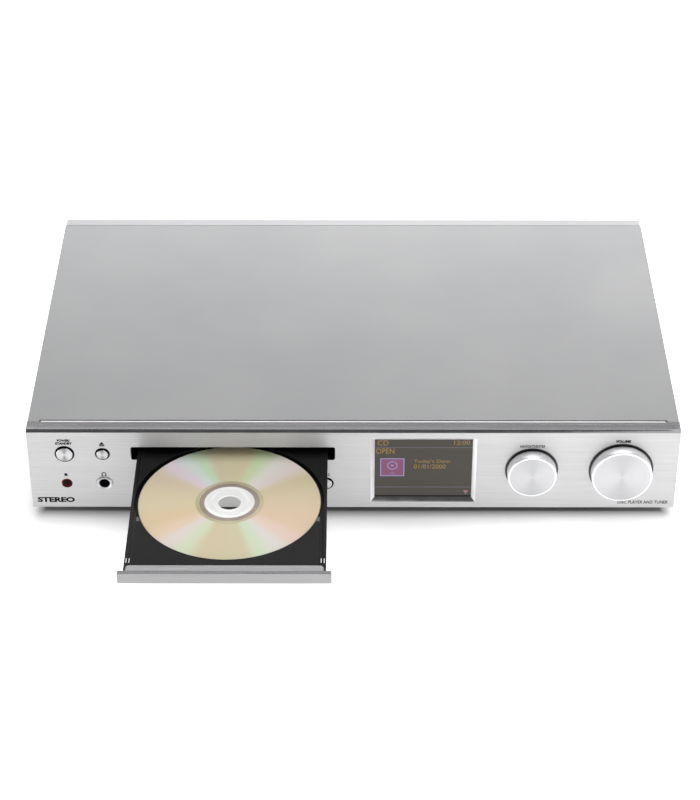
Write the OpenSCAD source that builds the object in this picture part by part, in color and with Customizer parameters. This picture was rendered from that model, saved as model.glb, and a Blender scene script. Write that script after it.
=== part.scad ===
// Full-width hi-fi component: disc player and network tuner with a drawer tray.
// X runs to the right, Y to the back, Z up; the origin is on the table under the middle of the case.

/* [Case] */
// Width of the front panel
case_w = 440; // [436:1:444]
// Depth from the front panel's face to the rear panel's face
case_d = 272; // [270:1:280]
// Height of the front panel
panel_h = 65.2; // [64.6:0.2:66]
// Height of the feet under the front panel's lower edge
foot_h = 8.4; // [8:0.1:12]
// Thickness of the front panel's plate
panel_t = 5; // [4:0.5:6]
// Depth of the front panel's rim
rim_d = 11; // [9.5:0.1:11.5]
// Bevel along the front panel's top edge
top_bevel = 1.8; // [1:0.1:2.5]
// Sheet metal thickness
sheet = 1.2; // [1:0.1:1.5]
// Depth of the rear panel's flanges
flange_d = 8; // [6:0.5:9]

/* [Front layout] */
// Left-hand column: power button and remote control window
power_x = -195.2; // [-198:0.1:-192]
// Second column: eject button and headphone socket
eject_x = -169.6; // [-171:0.1:-168]
// Height of the upper buttons over the panel's lower edge
upper_z = 45.5; // [43:0.1:46]
// Height of the lower row over the panel's lower edge
lower_z = 20.6; // [18:0.1:22]
// Spacing of the lower row of buttons
row_pitch = 25.2; // [24:0.1:25.4]
// Number of buttons in the lower row
row_count = 6; // [6:1:6]
// Diameter of the power button's cap
power_d = 11.1; // [10:0.1:12]
// Diameter of the small buttons' caps
small_d = 7.8; // [7:0.1:9]
// Ring gap round a button
button_gap = 1.1; // [0.8:0.1:1.3]
// Travel of a pressed button
press = 0.8; // [0.5:0.1:1]
// Middle of the display window
display_x = 47.6; // [46:0.1:49]
// Display window, width of the glass
glass_w = 66.2; // [64:0.1:68]
// Display window, height of the glass
glass_h = 48.8; // [48:0.1:51]
// Bevel round the display window
glass_bevel = 2.7; // [2:0.1:3]
// Middle of the navigate knob
navigate_x = 121; // [119:0.1:123]
// Diameter of the navigate knob
navigate_d = 33.4; // [32:0.1:35]
// Middle of the volume knob
volume_x = 181.7; // [180:0.1:183]
// Diameter of the volume knob
volume_d = 41.2; // [39:0.1:43]
// How far the knobs stand out of the panel
knob_out = 8.8; // [8:0.1:10]
// Black collar's overhang round a knob
collar_rim = 1.3; // [1:0.1:1.6]

/* [Disc drive] */
// Middle line of the drawer
tray_x = -81.4; // [-82:0.1:-81]
// Width of the drawer
tray_w = 128.2; // [127:0.2:129]
// Drawer opening in the panel, width
slot_w = 138; // [137:0.2:139]
// Drawer opening in the panel, height
slot_h = 10.7; // [10.5:0.1:11]
// Height of the drawer opening over the panel's lower edge
slot_z = 40.6; // [40.2:0.1:40.8]
// Travel of the drawer
stroke = 130; // [128:1:132]
// Distance from the drawer plate's face to the middle of the disc
disc_back = 77.2; // [77:0.1:78]
// Diameter of the disc
disc_d = 120; // [120:1:120]
// Teeth on the gear that drives the drawer
pinion_teeth = 16; // [16:1:16]
// Module of the drawer's rack
rack_module = 1.25; // [1.25:0.05:1.25]
// Travel of the disc motor's deck
lift = 6.2; // [6:0.1:6.2]
// Travel of the laser sled
sled_travel = 35; // [30:1:35]

/* [Hidden] */
$fn = 64;

// Case levels and planes
front = -case_d / 2;
back = case_d / 2;
bottom = foot_h;
top = foot_h + panel_h;
cover_w = case_w - 0.4;
cover_front = front + rim_d + 0.2;
cover_back = back - flange_d - 0.6;
cover_top = top - 0.2;
floor_z = bottom + 0.8;
inner_z = floor_z + sheet;

// Front panel
middle_z = bottom + 32.6;
rim_t = 2.6;
opening_w = glass_w + 2 * glass_bevel;
opening_h = glass_h + 2 * glass_bevel;
glass_z = bottom + 31.6;
subframe_front = front + panel_t + 2.4;
subframe_back = subframe_front + 2;
board_front = subframe_back + 5.2;
board_t = 1.6;
collar_t = 0.4;
shaft_d = 6;
bushing_d = 8.8;
ring_d = 11.5;
jack_d = 6.5;
jack_depth = 30;
ir_d = 7.5;
button_out = 1.2;
flange_t = 1;

// Feet
foot_d = 40;
foot_x = 192;
foot_front_y = front + 31;
foot_back_y = back - 34;
pad_h = 1.6;

// Drawer, with its levels over the panel's lower edge
tray_bottom = bottom + slot_z + 0.6;
tray_top = tray_bottom + 6.8;
recess_z = tray_bottom + 3;
disc_z = recess_z + 0.6;
disc_t = 1.2;
plate_w = slot_w - 2.7;
plate_h = slot_h - 2.8;
plate_t = 3.3;
plate_front = front - stroke;
plate_z = bottom + slot_z + 1.1;
ledge_w = 125;
ledge_d = 5.4;
tray_front = plate_front + plate_t;
tray_length = 170;
tray_back = tray_front + tray_length;
disc_y = plate_front + disc_back;
recess_r = disc_d / 2 + 2.2;
channel_depth = 2;
small_recess_r = 41;
spindle_y = disc_y + stroke;

// Drawer's gear train
pressure = 20;
pinion_r = pinion_teeth * rack_module / 2;
rack_x = tray_x - tray_w / 2 + 6.2;
pinion_x = rack_x + pinion_r;
pinion_y = front + 36;
train_module = 1;
wheel_teeth = 28;
pulley_teeth = 12;
pulley_x = pinion_x + (wheel_teeth + pulley_teeth) * train_module / 2;
pulley_r = 12;
motor_x = pulley_x + 44;
motor_pulley_r = 3.5;
motor_d = 24;
loader_floor = bottom + 26.6;
loader_floor_t = 2;
belt_z = loader_floor + loader_floor_t + 0.8;
pulley_h = 3;
wheel_z = belt_z + pulley_h + 0.4;
wheel_h = 3;
post_r = 1.5;
fit = 0.05;

// Disc motor's deck and laser sled
deck_z = loader_floor + loader_floor_t + 0.4;
deck_t = 1.5;
deck_w = 88;
deck_front = spindle_y - 22;
deck_back = spindle_y + 88;
table_z = disc_z - lift - 0.1;
table_r = 14.5;
sled_gap = 17;
sled_l = 30;
rod_z = deck_z + deck_t + 2.2;
rod_x = 17;
rod_r = 1.5;
lens_y = 7;
sled_rack_x = 23.2;
sled_module = 1;
sled_teeth = 18;
sled_gear_r = sled_teeth * sled_module / 2;

// Loader frame and clamp
loader_w = tray_w + 17;
loader_front = front + rim_d + 13;
loader_back = front + 182;
loader_top = bottom + 54.6;
wall_t = 3;
bridge_z = bottom + 52.6;
puck_z = tray_top + 0.6;

// Boards and rear sockets
main_board_z = inner_z + 8;
board_posts_x = [15, 115, 205];
board_posts_y = [-40, 105];
rear_z = bottom + 22.6;
inlet_x = 190;
antenna_x = -180;
line_out_x = -120;
line_out_pitch = 16;
optical_x = -70;

silver = [0.76, 0.77, 0.78];
grey = [0.66, 0.66, 0.67];
black = [0.07, 0.07, 0.07];
dark = [0.16, 0.16, 0.17];
steel = [0.7, 0.71, 0.72];
board_green = [0.05, 0.3, 0.16];
gold = [0.85, 0.75, 0.55];

// A box from its low corner to its high corner
module block(low, high) {
    translate(low) cube(high - low);
}

// A round bar along +Y, starting at y
module bar(x, z, d, y, length) {
    translate([x, y, z]) rotate([-90, 0, 0]) cylinder(d = d, h = length);
}

// A round bar along +Z, starting at z
module post(x, y, r, z, height) {
    translate([x, y, z]) cylinder(r = r, h = height);
}

// A flat outline in X and Z, made solid from y back over the given depth
module upright(y, depth) {
    translate([0, y + depth, 0]) rotate([90, 0, 0]) linear_extrude(depth) children();
}

// A rectangle with round corners, centred on the origin
module round_rect(w, h, r) {
    difference() {
        square([w, h], center = true);
        for (sx = [-1, 1], sy = [-1, 1]) translate([sx * (w / 2 - r), sy * (h / 2 - r)])
            difference() {
                translate([sx > 0 ? 0 : -r - 1, sy > 0 ? 0 : -r - 1]) square(r + 1);
                circle(r);
            }
    }
}

// Involute gear outline: the tooth's half angle falls from root to tip
function roll(base, r) = r <= base ? 0 : tan(acos(base / r)) * 180 / PI - acos(base / r);
function half_angle(teeth, base, pitch, r, play) =
    90 / teeth + roll(base, pitch) - roll(base, r) - play / pitch * 180 / PI;
function gear_points(teeth, m, play) = let (
    pitch = teeth * m / 2,
    base = pitch * cos(pressure),
    root = pitch - 1.15 * m,
    tip = pitch + 0.85 * m,
    radii = [root, for (k = [0:3]) max(base, root) + (tip - max(base, root)) * k / 3])
    [for (t = [0:teeth - 1], side = [-1, 1], k = [0:4]) let (
        r = radii[side < 0 ? k : 4 - k],
        a = t * 360 / teeth + side * half_angle(teeth, base, pitch, r, play))
        [r * cos(a), r * sin(a)]];

// A gear in the XY plane whose first tooth points along the given angle
module gear(teeth, m, height, angle, play = 0.12) {
    linear_extrude(height) rotate(angle) polygon(gear_points(teeth, m, play));
}

// Rack teeth facing +X from the pitch line at x = 0, with a tooth gap at y = 0
module rack(m, from, to, height, depth) {
    pitch = PI * m;
    slope = tan(pressure);
    add = 0.85 * m;
    ded = 1.15 * m;
    low = ceil(from / pitch - 0.5);
    high = floor(to / pitch - 0.5) - 1;
    play = 0.12;
    linear_extrude(height) union() {
        translate([-ded - depth, from]) square([depth + 0.01, to - from]);
        for (k = [low:high]) translate([0, (k + 0.5) * pitch]) polygon([
            [-ded, -pitch / 4 - ded * slope + play], [add, -pitch / 4 + add * slope + play],
            [add, pitch / 4 - add * slope - play], [-ded, pitch / 4 + ded * slope - play]]);
    }
}

// Holes shared by the front panel and the subframe, each grown by the given margin
module control_holes(y, depth, grow) {
    bar(power_x, bottom + upper_z, power_d + 2 * button_gap + 2 * grow, y, depth);
    bar(eject_x, bottom + upper_z, small_d + 2 * button_gap + 2 * grow, y, depth);
    for (k = [1:row_count])
        bar(eject_x + k * row_pitch, bottom + lower_z, small_d + 2 * button_gap + 2 * grow, y, depth);
    bar(power_x, bottom + lower_z, ir_d + 2 * grow, y, depth);
    bar(eject_x, bottom + lower_z, ring_d + 2 * grow, y, depth);
    for (x = [navigate_x, volume_x]) bar(x, middle_z, bushing_d + 2 * grow, y, depth);
}

// Display opening, wider at the face than behind it
module display_opening() {
    bevel_d = glass_bevel - 0.1;
    translate([display_x, front, glass_z]) hull() {
        rotate([90, 0, 0]) linear_extrude(0.02) square([opening_w, opening_h], center = true);
        translate([0, bevel_d, 0]) rotate([90, 0, 0]) linear_extrude(0.02)
            square([glass_w, glass_h], center = true);
    }
    upright(front + bevel_d - 0.05, panel_t) translate([display_x, glass_z])
        square([glass_w, glass_h], center = true);
}

module front_panel() {
    color(silver) difference() {
        translate([-case_w / 2, 0, 0]) rotate([90, 0, 90]) linear_extrude(case_w) polygon([
            [front, bottom], [front + rim_d, bottom], [front + rim_d, top],
            [front + top_bevel, top], [front, top - top_bevel]]);
        block([-case_w / 2 + rim_t, front + panel_t, bottom + rim_t],
            [case_w / 2 - rim_t, front + rim_d + 1, top - rim_t]);
        upright(front - 1, panel_t + 2) translate([tray_x, bottom + slot_z + slot_h / 2])
            round_rect(slot_w, slot_h, 1.5);
        control_holes(front - 1, panel_t + 2, 0);
        display_opening();
    }
}

// Subframe behind the front panel: guides the buttons and carries the display
module front_subframe() {
    side = case_w / 2 - rim_t - 0.5;
    color(dark) difference() {
        union() {
            block([-side, subframe_front, bottom + rim_t + 0.5], [side, subframe_back, top - rim_t - 0.5]);
            for (x = [2 - side, side - 8])
                block([x, subframe_back - 0.01, bottom + rim_t + 0.5], [x + 6, subframe_back + 10, bottom + 14]);
        }
        upright(subframe_front - 1, 4) translate([tray_x, bottom + slot_z + slot_h / 2])
            round_rect(slot_w + 1, slot_h + 0.6, 1.5);
        control_holes(subframe_front - 1, 4, -1.8);
        upright(subframe_front - 1, 4) translate([eject_x, bottom + lower_z]) square([12, 13], center = true);
        upright(subframe_front - 1, 4) translate([display_x, glass_z])
            square([glass_w - 4, glass_h - 4], center = true);
        for (x = [navigate_x, volume_x]) bar(x, middle_z, bushing_d + 0.4, subframe_front - 1, 4);
    }
}

// Top cover: one folded sheet with relief notches at its front corners
module top_cover() {
    notch_x = cover_w / 2 - 8.7;
    color(grey) difference() {
        block([-cover_w / 2, cover_front, bottom + 1.2], [cover_w / 2, cover_back, cover_top]);
        block([-cover_w / 2 + sheet, cover_front - 1, bottom],
            [cover_w / 2 - sheet, cover_back + 1, cover_top - sheet]);
        block([-notch_x, cover_front - 1, cover_top - 4], [notch_x, cover_front + 1.2, cover_top + 1]);
        for (side = [-1, 1]) {
            post(side * notch_x, cover_front + 0.6, 0.9, cover_top - 4, 6);
            for (y = [front + 60, back - 60])
                translate([side * cover_w / 2 - 3, y, bottom + 8]) rotate([0, 90, 0]) cylinder(d = 3.4, h = 6);
        }
    }
}

module base_pan() {
    side = cover_w / 2 - sheet - 0.3;
    y_front = front + rim_d + 0.4;
    y_back = back - sheet - 0.3;
    color(steel) difference() {
        union() {
            block([-side, y_front, floor_z], [side, y_back, inner_z]);
            for (x = [-side, side - sheet])
                block([x, y_front, inner_z - 0.01], [x + sheet, y_back, floor_z + 14]);
            block([-side, y_back - sheet, inner_z - 0.01], [side, y_back, floor_z + 9]);
            for (x = board_posts_x, y = board_posts_y) post(x, y, 3, inner_z - 0.01, main_board_z - inner_z);
        }
        for (x = board_posts_x, y = board_posts_y) post(x, y, 1.35, main_board_z - 6, 7);
        for (x = [-1, 1], y = [foot_front_y, foot_back_y]) post(x * foot_x, y, 1.8, floor_z - 1, 4);
        for (side_x = [-1, 1], y = [front + 60, back - 60])
            translate([side_x * side - 3, y, bottom + 8]) rotate([0, 90, 0]) cylinder(d = 2.6, h = 6);
        for (k = [0:11]) block([20 + k * 14, 20, floor_z - 1], [24 + k * 14, 60, floor_z + 3]);
    }
}

module rear_panel() {
    side = cover_w / 2 - 0.5;
    color(silver) difference() {
        union() {
            block([-side, back - sheet, bottom + 0.8], [side, back, cover_top - 0.1]);
            block([-side, back - flange_d, cover_top - 0.1 - sheet], [side, back - sheet + 0.01, cover_top - 0.1]);
            for (x = [-side, side - sheet])
                block([x, back - flange_d, floor_z + 14.4], [x + sheet, back - sheet + 0.01, cover_top - 0.1]);
        }
        upright(back - 4, 8) translate([inlet_x, rear_z]) square([20.6, 16.6], center = true);
        bar(antenna_x, rear_z, 9.8, back - 4, 8);
        for (x = [0, 1]) bar(line_out_x + x * line_out_pitch, rear_z, 8.8, back - 4, 8);
        upright(back - 4, 8) translate([optical_x, rear_z]) square([10.4, 10.4], center = true);
        for (k = [0:9]) block([60 + k * 9, back - 4, bottom + 40], [63 + k * 9, back + 1, bottom + 56]);
    }
}

module foot(x, y) {
    color(dark) translate([x, y, pad_h]) difference() {
        rotate_extrude() polygon([
            [0, 0], [foot_d / 2 - 1.5, 0], [foot_d / 2, 1.5], [foot_d / 2, floor_z - pad_h - 1],
            [foot_d / 2 - 1, floor_z - pad_h], [0, floor_z - pad_h]]);
        translate([0, 0, -1]) cylinder(d = 10, h = 4);
        cylinder(r = 1.8, h = floor_z);
    }
}

module foot_pads() {
    color(black) for (x = [-1, 1], y = [foot_front_y, foot_back_y])
        translate([x * foot_x, y, 0]) difference() {
            cylinder(d = foot_d - 8, h = pad_h);
            translate([0, 0, -1]) cylinder(d = 10, h = pad_h + 2);
        }
}

// A pan-head screw along +Z, head underneath
module screw(d, length, head_d, head_h) {
    cylinder(d = head_d, h = head_h);
    translate([0, 0, head_h - 0.01]) cylinder(d = d, h = length);
}

module cover_screws() {
    color(steel) for (side = [-1, 1], y = [front + 60, back - 60])
        translate([side * (cover_w / 2 + 1.8), y, bottom + 8]) rotate([0, -side * 90, 0]) screw(2.5, 7, 5.6, 1.75);
}

module foot_screws() {
    color(steel) for (x = [-1, 1], y = [foot_front_y, foot_back_y])
        translate([x * foot_x, y, pad_h + 1]) screw(3.4, 10, 8, 1.9);
}

// Screws that hold the main board and the power supply to their posts
module inner_screws() {
    color(steel) for (x = board_posts_x, y = board_posts_y)
        translate([x, y, main_board_z + board_t + 1.85]) rotate([180, 0, 0]) screw(2.6, 6, 5, 1.8);
}

module display_window() {
    color([0.2, 0.2, 0.2]) upright(front + glass_bevel - 0.1, panel_t - glass_bevel + 0.1)
        translate([display_x, glass_z]) square([glass_w - 0.2, glass_h - 0.2], center = true);
}

module display_module() {
    color(dark) {
        upright(front + panel_t + 0.05, 2.3) translate([display_x, glass_z])
            square([glass_w + 6, glass_h + 2], center = true);
        upright(front + panel_t + 2.3, 6) translate([display_x, glass_z])
            square([glass_w - 6, glass_h - 6], center = true);
    }
}

module ir_window() {
    color([0.3, 0.04, 0.05]) union() {
        bar(power_x, bottom + lower_z, ir_d - 0.1, front + 0.4, panel_t - 0.4 + 0.01);
        bar(power_x, bottom + lower_z, ir_d + 2, front + panel_t + 0.02, 1.2);
    }
}

module headphone_socket() {
    color(black) difference() {
        union() {
            bar(eject_x, bottom + lower_z, 9, front + 0.2, panel_t + 2);
            upright(front + panel_t + 2, jack_depth - panel_t) translate([eject_x, bottom + lower_z])
                square([10.8, 12], center = true);
        }
        bar(eject_x, bottom + lower_z, jack_d, front - 1, jack_depth);
    }
}

module headphone_ring() {
    color(silver) translate([eject_x, front, bottom + lower_z]) rotate([-90, 0, 0])
        rotate_extrude() polygon([
            [4.55, -0.8], [4.9, -1], [ring_d / 2 - 0.6, -1], [ring_d / 2 - 0.1, -0.5],
            [ring_d / 2 - 0.1, panel_t - 0.5], [4.55, panel_t - 0.5]]);
}

// A button: face and cap in the panel, a flange behind it and a stem to its switch
module button(x, z, d) {
    color(silver) translate([x, front - button_out, z]) rotate([-90, 0, 0]) {
        rotate_extrude() polygon([
            [0, 0], [d / 2 - 0.4, 0], [d / 2, 0.4], [d / 2, panel_t + button_out + 0.1],
            [d / 2 + 1.8, panel_t + button_out + 0.1], [d / 2 + 1.8, panel_t + button_out + 0.1 + flange_t],
            [1.8, panel_t + button_out + 0.1 + flange_t], [1.8, board_front - front + button_out - 3.1],
            [0, board_front - front + button_out - 3.1]]);
    }
}

module row_button(k) {
    button(eject_x + k * row_pitch, bottom + lower_z, small_d);
}

// A turned knob with a polished edge and a bore for its shaft
module knob(x, d, clearance) {
    depth = knob_out - collar_t - 0.6;
    face_t = 2.4;
    color(silver) translate([x, front - knob_out, middle_z]) rotate([-90, 0, 0]) difference() {
        rotate_extrude($fn = 96) polygon([
            [0, 0], [d / 2 - 1.4, 0], [d / 2, 1.1], [d / 2, depth], [0, depth]]);
        translate([0, 0, face_t]) cylinder(r = shaft_d / 2 + clearance, h = depth);
        translate([0, 0, 4]) difference() {
            cylinder(d = d - 5, h = 10);
            translate([0, 0, -1]) cylinder(d = 14, h = 12);
        }
    }
}

// Black collar on the panel round a knob
module collar(x, d) {
    color(black) translate([x, front - collar_t, middle_z]) rotate([-90, 0, 0]) difference() {
        cylinder(d = d + 2 * collar_rim, h = collar_t - 0.02, $fn = 96);
        translate([0, 0, -1]) cylinder(d = 15, h = collar_t + 2);
    }
}

// Encoder: a threaded bushing through the panel, its nut and a body soldered to the control board
module encoder(x) {
    color(steel) difference() {
        union() {
            bar(x, middle_z, bushing_d - 0.2, front - 0.3, board_front - front + 0.28);
            upright(board_front - 4, 3.98) translate([x, middle_z]) square([14, 14], center = true);
        }
        bar(x, middle_z, shaft_d + 0.1, front - 2, board_front - front + 1);
    }
}

module shaft(x) {
    color(steel) bar(x, middle_z, shaft_d, front - knob_out + 2.45, knob_out - 2.45 + board_front - front - 3);
}

// Control board, cut away round the drawer
module control_board() {
    color(board_green) difference() {
        block([-206, board_front, bottom + 6], [206, board_front + board_t, bottom + 57]);
        block([tray_x - slot_w / 2 - 2, board_front - 1, bottom + slot_z - 5],
            [tray_x + slot_w / 2 + 2, board_front + board_t + 1, top]);
        bar(eject_x, bottom + lower_z, 18, board_front - 1, board_t + 2);
    }
}

module tact_switches() {
    places = concat([[power_x, upper_z], [eject_x, upper_z]],
        [for (k = [1:row_count]) [eject_x + k * row_pitch, lower_z]]);
    color(black) for (p = places)
        upright(board_front - 2.1, 2.08) translate([p[0], bottom + p[1]]) square([6, 6], center = true);
}

module main_board() {
    color(board_green) union() {
        difference() {
            block([8, -46, main_board_z], [212, 112, main_board_z + board_t]);
            for (x = board_posts_x, y = board_posts_y) post(x, y, 1.45, main_board_z - 1, board_t + 2);
        }
        for (x = [30:22:96]) post(x, 84, 5, main_board_z + board_t - 0.01, 14);
        block([60, 20, main_board_z + board_t - 0.01], [84, 44, main_board_z + board_t + 2]);
        block([30, 0, main_board_z + board_t - 0.01], [44, 14, main_board_z + board_t + 2]);
    }
}

// Network and radio module: a small board on a header, with its shield can
module network_module() {
    z = main_board_z + board_t;
    color(steel) union() {
        block([20, -30, z + 0.02], [24, 2, z + 6]);
        block([18, -34, z + 5.9], [62, 6, z + 7.4]);
        block([28, -28, z + 7.3], [56, 0, z + 10.5]);
    }
}

module power_supply() {
    z = main_board_z + board_t;
    color([0.75, 0.62, 0.2]) union() {
        block([140, 30, z + 0.02], [172, 62, z + 26]);
        post(192, 50, 9, z + 0.02, 24);
        post(192, 76, 9, z + 0.02, 24);
        block([130, 76, z + 0.02], [178, 80, z + 24]);
    }
}

// Two-pole mains inlet with a figure-of-eight well
module power_inlet() {
    well = 8.6;
    pin_gap = 8.6;
    color(black) difference() {
        union() {
            upright(back - 18, 17.9) translate([inlet_x, rear_z]) square([20, 16], center = true);
            upright(back + 0.05, 1.6) translate([inlet_x, rear_z]) round_rect(25, 20, 2);
            upright(back - 1, 1.2) translate([inlet_x, rear_z]) square([20, 16], center = true);
        }
        for (side = [-1, 1]) bar(inlet_x + side * 3.9, rear_z, well, back - 13, 20);
        block([inlet_x - 3.9, back - 13, rear_z - 2.9], [inlet_x + 3.9, back + 7, rear_z + 2.9]);
    }
    color(steel) for (side = [-1, 1])
        bar(inlet_x + side * pin_gap / 2, rear_z, 2.4, back - 13.5, 12.5);
}

module antenna_socket() {
    color(steel) difference() {
        union() {
            bar(antenna_x, rear_z, 9.5, back - 8, 18);
            bar(antenna_x, rear_z, 13, back + 0.05, 2);
        }
        bar(antenna_x, rear_z, 2.4, back, 11);
    }
}

module line_out_sockets() {
    color(black) difference() {
        union() {
            block([line_out_x - 9, back - 14, rear_z - 8],
                [line_out_x + line_out_pitch + 9, back - sheet - 0.05, rear_z + 8]);
            for (k = [0, 1]) {
                bar(line_out_x + k * line_out_pitch, rear_z, 8.3, back - 2, 11);
                bar(line_out_x + k * line_out_pitch, rear_z, 10.4, back + 0.05, 1);
            }
        }
        for (k = [0, 1]) bar(line_out_x + k * line_out_pitch, rear_z, 3.4, back - 4, 14);
    }
}

module optical_socket() {
    color(black) difference() {
        upright(back - 12, 13) translate([optical_x, rear_z]) square([10, 10], center = true);
        upright(back - 6, 8) translate([optical_x, rear_z]) square([6, 6], center = true);
    }
}

// Loader frame: floor, two guide walls and legs to the base
module loader_frame() {
    wall = loader_w / 2;
    color(dark) difference() {
        union() {
            block([tray_x - wall, loader_front, loader_floor],
                [tray_x + wall, loader_back, loader_floor + loader_floor_t]);
            for (x = [tray_x - wall, tray_x + wall - wall_t])
                block([x, loader_front, loader_floor], [x + wall_t, loader_back, loader_top]);
            for (side = [-1, 1]) {
                x = tray_x + side * (tray_w / 2 + 2);
                block([x - 3, loader_front, loader_floor], [x + 3, loader_back, tray_bottom - 0.4]);
                block([min(x, x + side * 5) - 1, loader_front, tray_top + 0.5],
                    [max(x, x + side * 5) + 1, loader_front + 10, tray_top + 2.5]);
            }
            for (x = [tray_x - wall, tray_x + wall - 8], y = [loader_front, loader_back - 8])
                block([x, y, inner_z + 0.02], [x + 8, y + 8, loader_floor + 0.01]);
            post(pinion_x, pinion_y, post_r, loader_floor, tray_bottom - loader_floor + 1.4);
            post(pulley_x, pinion_y, post_r, loader_floor, wheel_z + wheel_h - loader_floor + 0.4);
        }
        block([tray_x - 38, deck_front - 4, loader_floor - 1], [tray_x + 38, deck_back + 2, deck_z + 1]);
        post(motor_x, pinion_y, 5, loader_floor - 1, 5);
    }
}

module clamp_bridge() {
    wall = loader_w / 2;
    color(steel) difference() {
        union() {
            block([tray_x - wall + wall_t, spindle_y - 18, bridge_z],
                [tray_x + wall - wall_t, spindle_y + 18, bridge_z + 1.5]);
            for (side = [-1, 1])
                block([tray_x + side * (wall + 0.1) - (side > 0 ? 12 : 0), spindle_y - 12, loader_top + 0.05],
                    [tray_x + side * (wall + 0.1) + (side > 0 ? 0 : 12), spindle_y + 12, loader_top + 1.3]);
            for (side = [-1, 1])
                block([tray_x + side * (wall - 9.5) - 1, spindle_y - 12, bridge_z],
                    [tray_x + side * (wall - 9.5) + 1, spindle_y + 12, loader_top + 1.3]);
        }
        post(tray_x, spindle_y, 12, bridge_z - 2, 8);
    }
}

module clamp_puck() {
    neck_r = 11.6;
    lower = bridge_z - 0.6 - puck_z;
    collar_z = bridge_z + 1.8 - puck_z;
    color(black) translate([tray_x, spindle_y, puck_z]) rotate_extrude() polygon([
        [7.6, 0], [15, 0], [15, lower], [neck_r, lower], [neck_r, collar_z],
        [14, collar_z], [14, collar_z + 1.4], [0, collar_z + 1.4], [0, 2.6], [7.6, 2.6]]);
}

// Drawer: a shallow disc recess with a step for the small disc and a rack in its underside
module disc_tray() {
    rail = tray_w / 2;
    channel_l = tray_x - rail + 2.6;
    channel_r = pinion_x + pinion_r + 2.4;
    color(black) union() {
        difference() {
            block([tray_x - rail, tray_front, tray_bottom], [tray_x + rail, tray_back, tray_top]);
            post(tray_x, disc_y, recess_r, recess_z, 10);
            post(tray_x, disc_y, small_recess_r, recess_z - 0.6, 10);
            block([tray_x - rail + 4.5, tray_front + 6, tray_top - 0.6],
                [tray_x + rail - 4.5, tray_back - 3, tray_top + 1]);
            for (side = [-1, 1])
                block([tray_x + side * (rail - 2.4) - 0.5, tray_front + 8, tray_top - 0.8],
                    [tray_x + side * (rail - 2.4) + 0.5, tray_back - 3, tray_top + 1]);
            block([tray_x - 24, disc_y - 22, tray_bottom - 1], [tray_x + 24, disc_y + 74, tray_top + 1]);
            block([channel_l, tray_front + 4, tray_bottom - 1],
                [channel_r, tray_back + 1, tray_bottom + channel_depth]);
        }
        translate([rack_x, pinion_y, tray_bottom])
            rack(rack_module, tray_front + 4 - pinion_y, tray_back - pinion_y, channel_depth + 0.01, 1.2);
        for (a = [40:70:320]) if (abs(a - 90) > 40) translate([tray_x, disc_y, recess_z - 0.01])
            rotate(a) translate([53, 0, 0]) cylinder(r = 1.5, h = 0.6);
        block([tray_x - ledge_w / 2, tray_front, tray_top - 0.7], [tray_x + ledge_w / 2, tray_front + 2, tray_top]);
    }
}

// Drawer's front: the brushed plate and the narrower ledge that carries it
module tray_plate() {
    ledge_top = plate_z + plate_h - 0.2;
    color(silver) union() {
        upright(plate_front, plate_t - 0.02) translate([tray_x, plate_z + plate_h / 2])
            round_rect(plate_w, plate_h, 0.8);
        translate([tray_x, tray_front + ledge_d / 2 - 1, tray_top + 0.02])
            linear_extrude(ledge_top - tray_top - 0.02) difference() {
                round_rect(ledge_w, ledge_d + 2, 2.4);
                translate([-ledge_w, -ledge_d / 2 - 2]) square([2 * ledge_w, 1]);
            }
    }
}

module disc() {
    color(gold) translate([tray_x, disc_y, disc_z]) difference() {
        union() {
            cylinder(d = disc_d, h = disc_t, $fn = 128);
            translate([0, 0, -0.15]) difference() {
                cylinder(d = 36, h = 0.3);
                translate([0, 0, -1]) cylinder(d = 34, h = 2);
            }
        }
        translate([0, 0, -1]) cylinder(d = 15, h = disc_t + 2);
    }
}

module drive_deck() {
    color(steel) difference() {
        union() {
            block([tray_x - deck_w / 2, deck_front, deck_z], [tray_x + deck_w / 2, deck_back, deck_z + deck_t]);
            for (x = [-1, 1], y = [spindle_y + sled_gap - 3, deck_back - 5])
                block([tray_x + x * rod_x - 3, y, deck_z], [tray_x + x * rod_x + 3, y + 3, rod_z + 2]);
            post(tray_x + sled_rack_x + sled_gear_r, spindle_y + 50, post_r, deck_z, deck_t + 4.2);
        }
        block([tray_x - 14, spindle_y + sled_gap + 1, deck_z - 1],
            [tray_x + 14, deck_back - 7, deck_z + deck_t + 1]);
        post(tray_x, spindle_y, 4, deck_z - 1, 5);
        for (x = [-1, 1]) bar(tray_x + x * rod_x, rod_z, 2 * rod_r, spindle_y, 100);
    }
}

module spindle_motor() {
    color(dark) difference() {
        union() {
            post(tray_x, spindle_y, 12, deck_z - 7, 6.98);
            post(tray_x, spindle_y, 3.9, deck_z - 1, deck_t + 2);
        }
        post(tray_x, spindle_y, 1 + fit, deck_z - 5, 20);
    }
}

module turntable() {
    z = table_z - deck_z - deck_t - 1.6;
    color(black) translate([tray_x, spindle_y, 0]) union() {
        translate([0, 0, deck_z + deck_t + 1.6]) rotate_extrude() polygon([
            [0, 0], [5, 0], [5, z - 2], [table_r, z - 2], [table_r, z], [7, z],
            [6.8, z + 0.8], [4.4, z + 2.2], [0, z + 2.2]]);
        translate([0, 0, deck_z - 4.8]) cylinder(r = 1, h = 8);
    }
}

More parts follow.
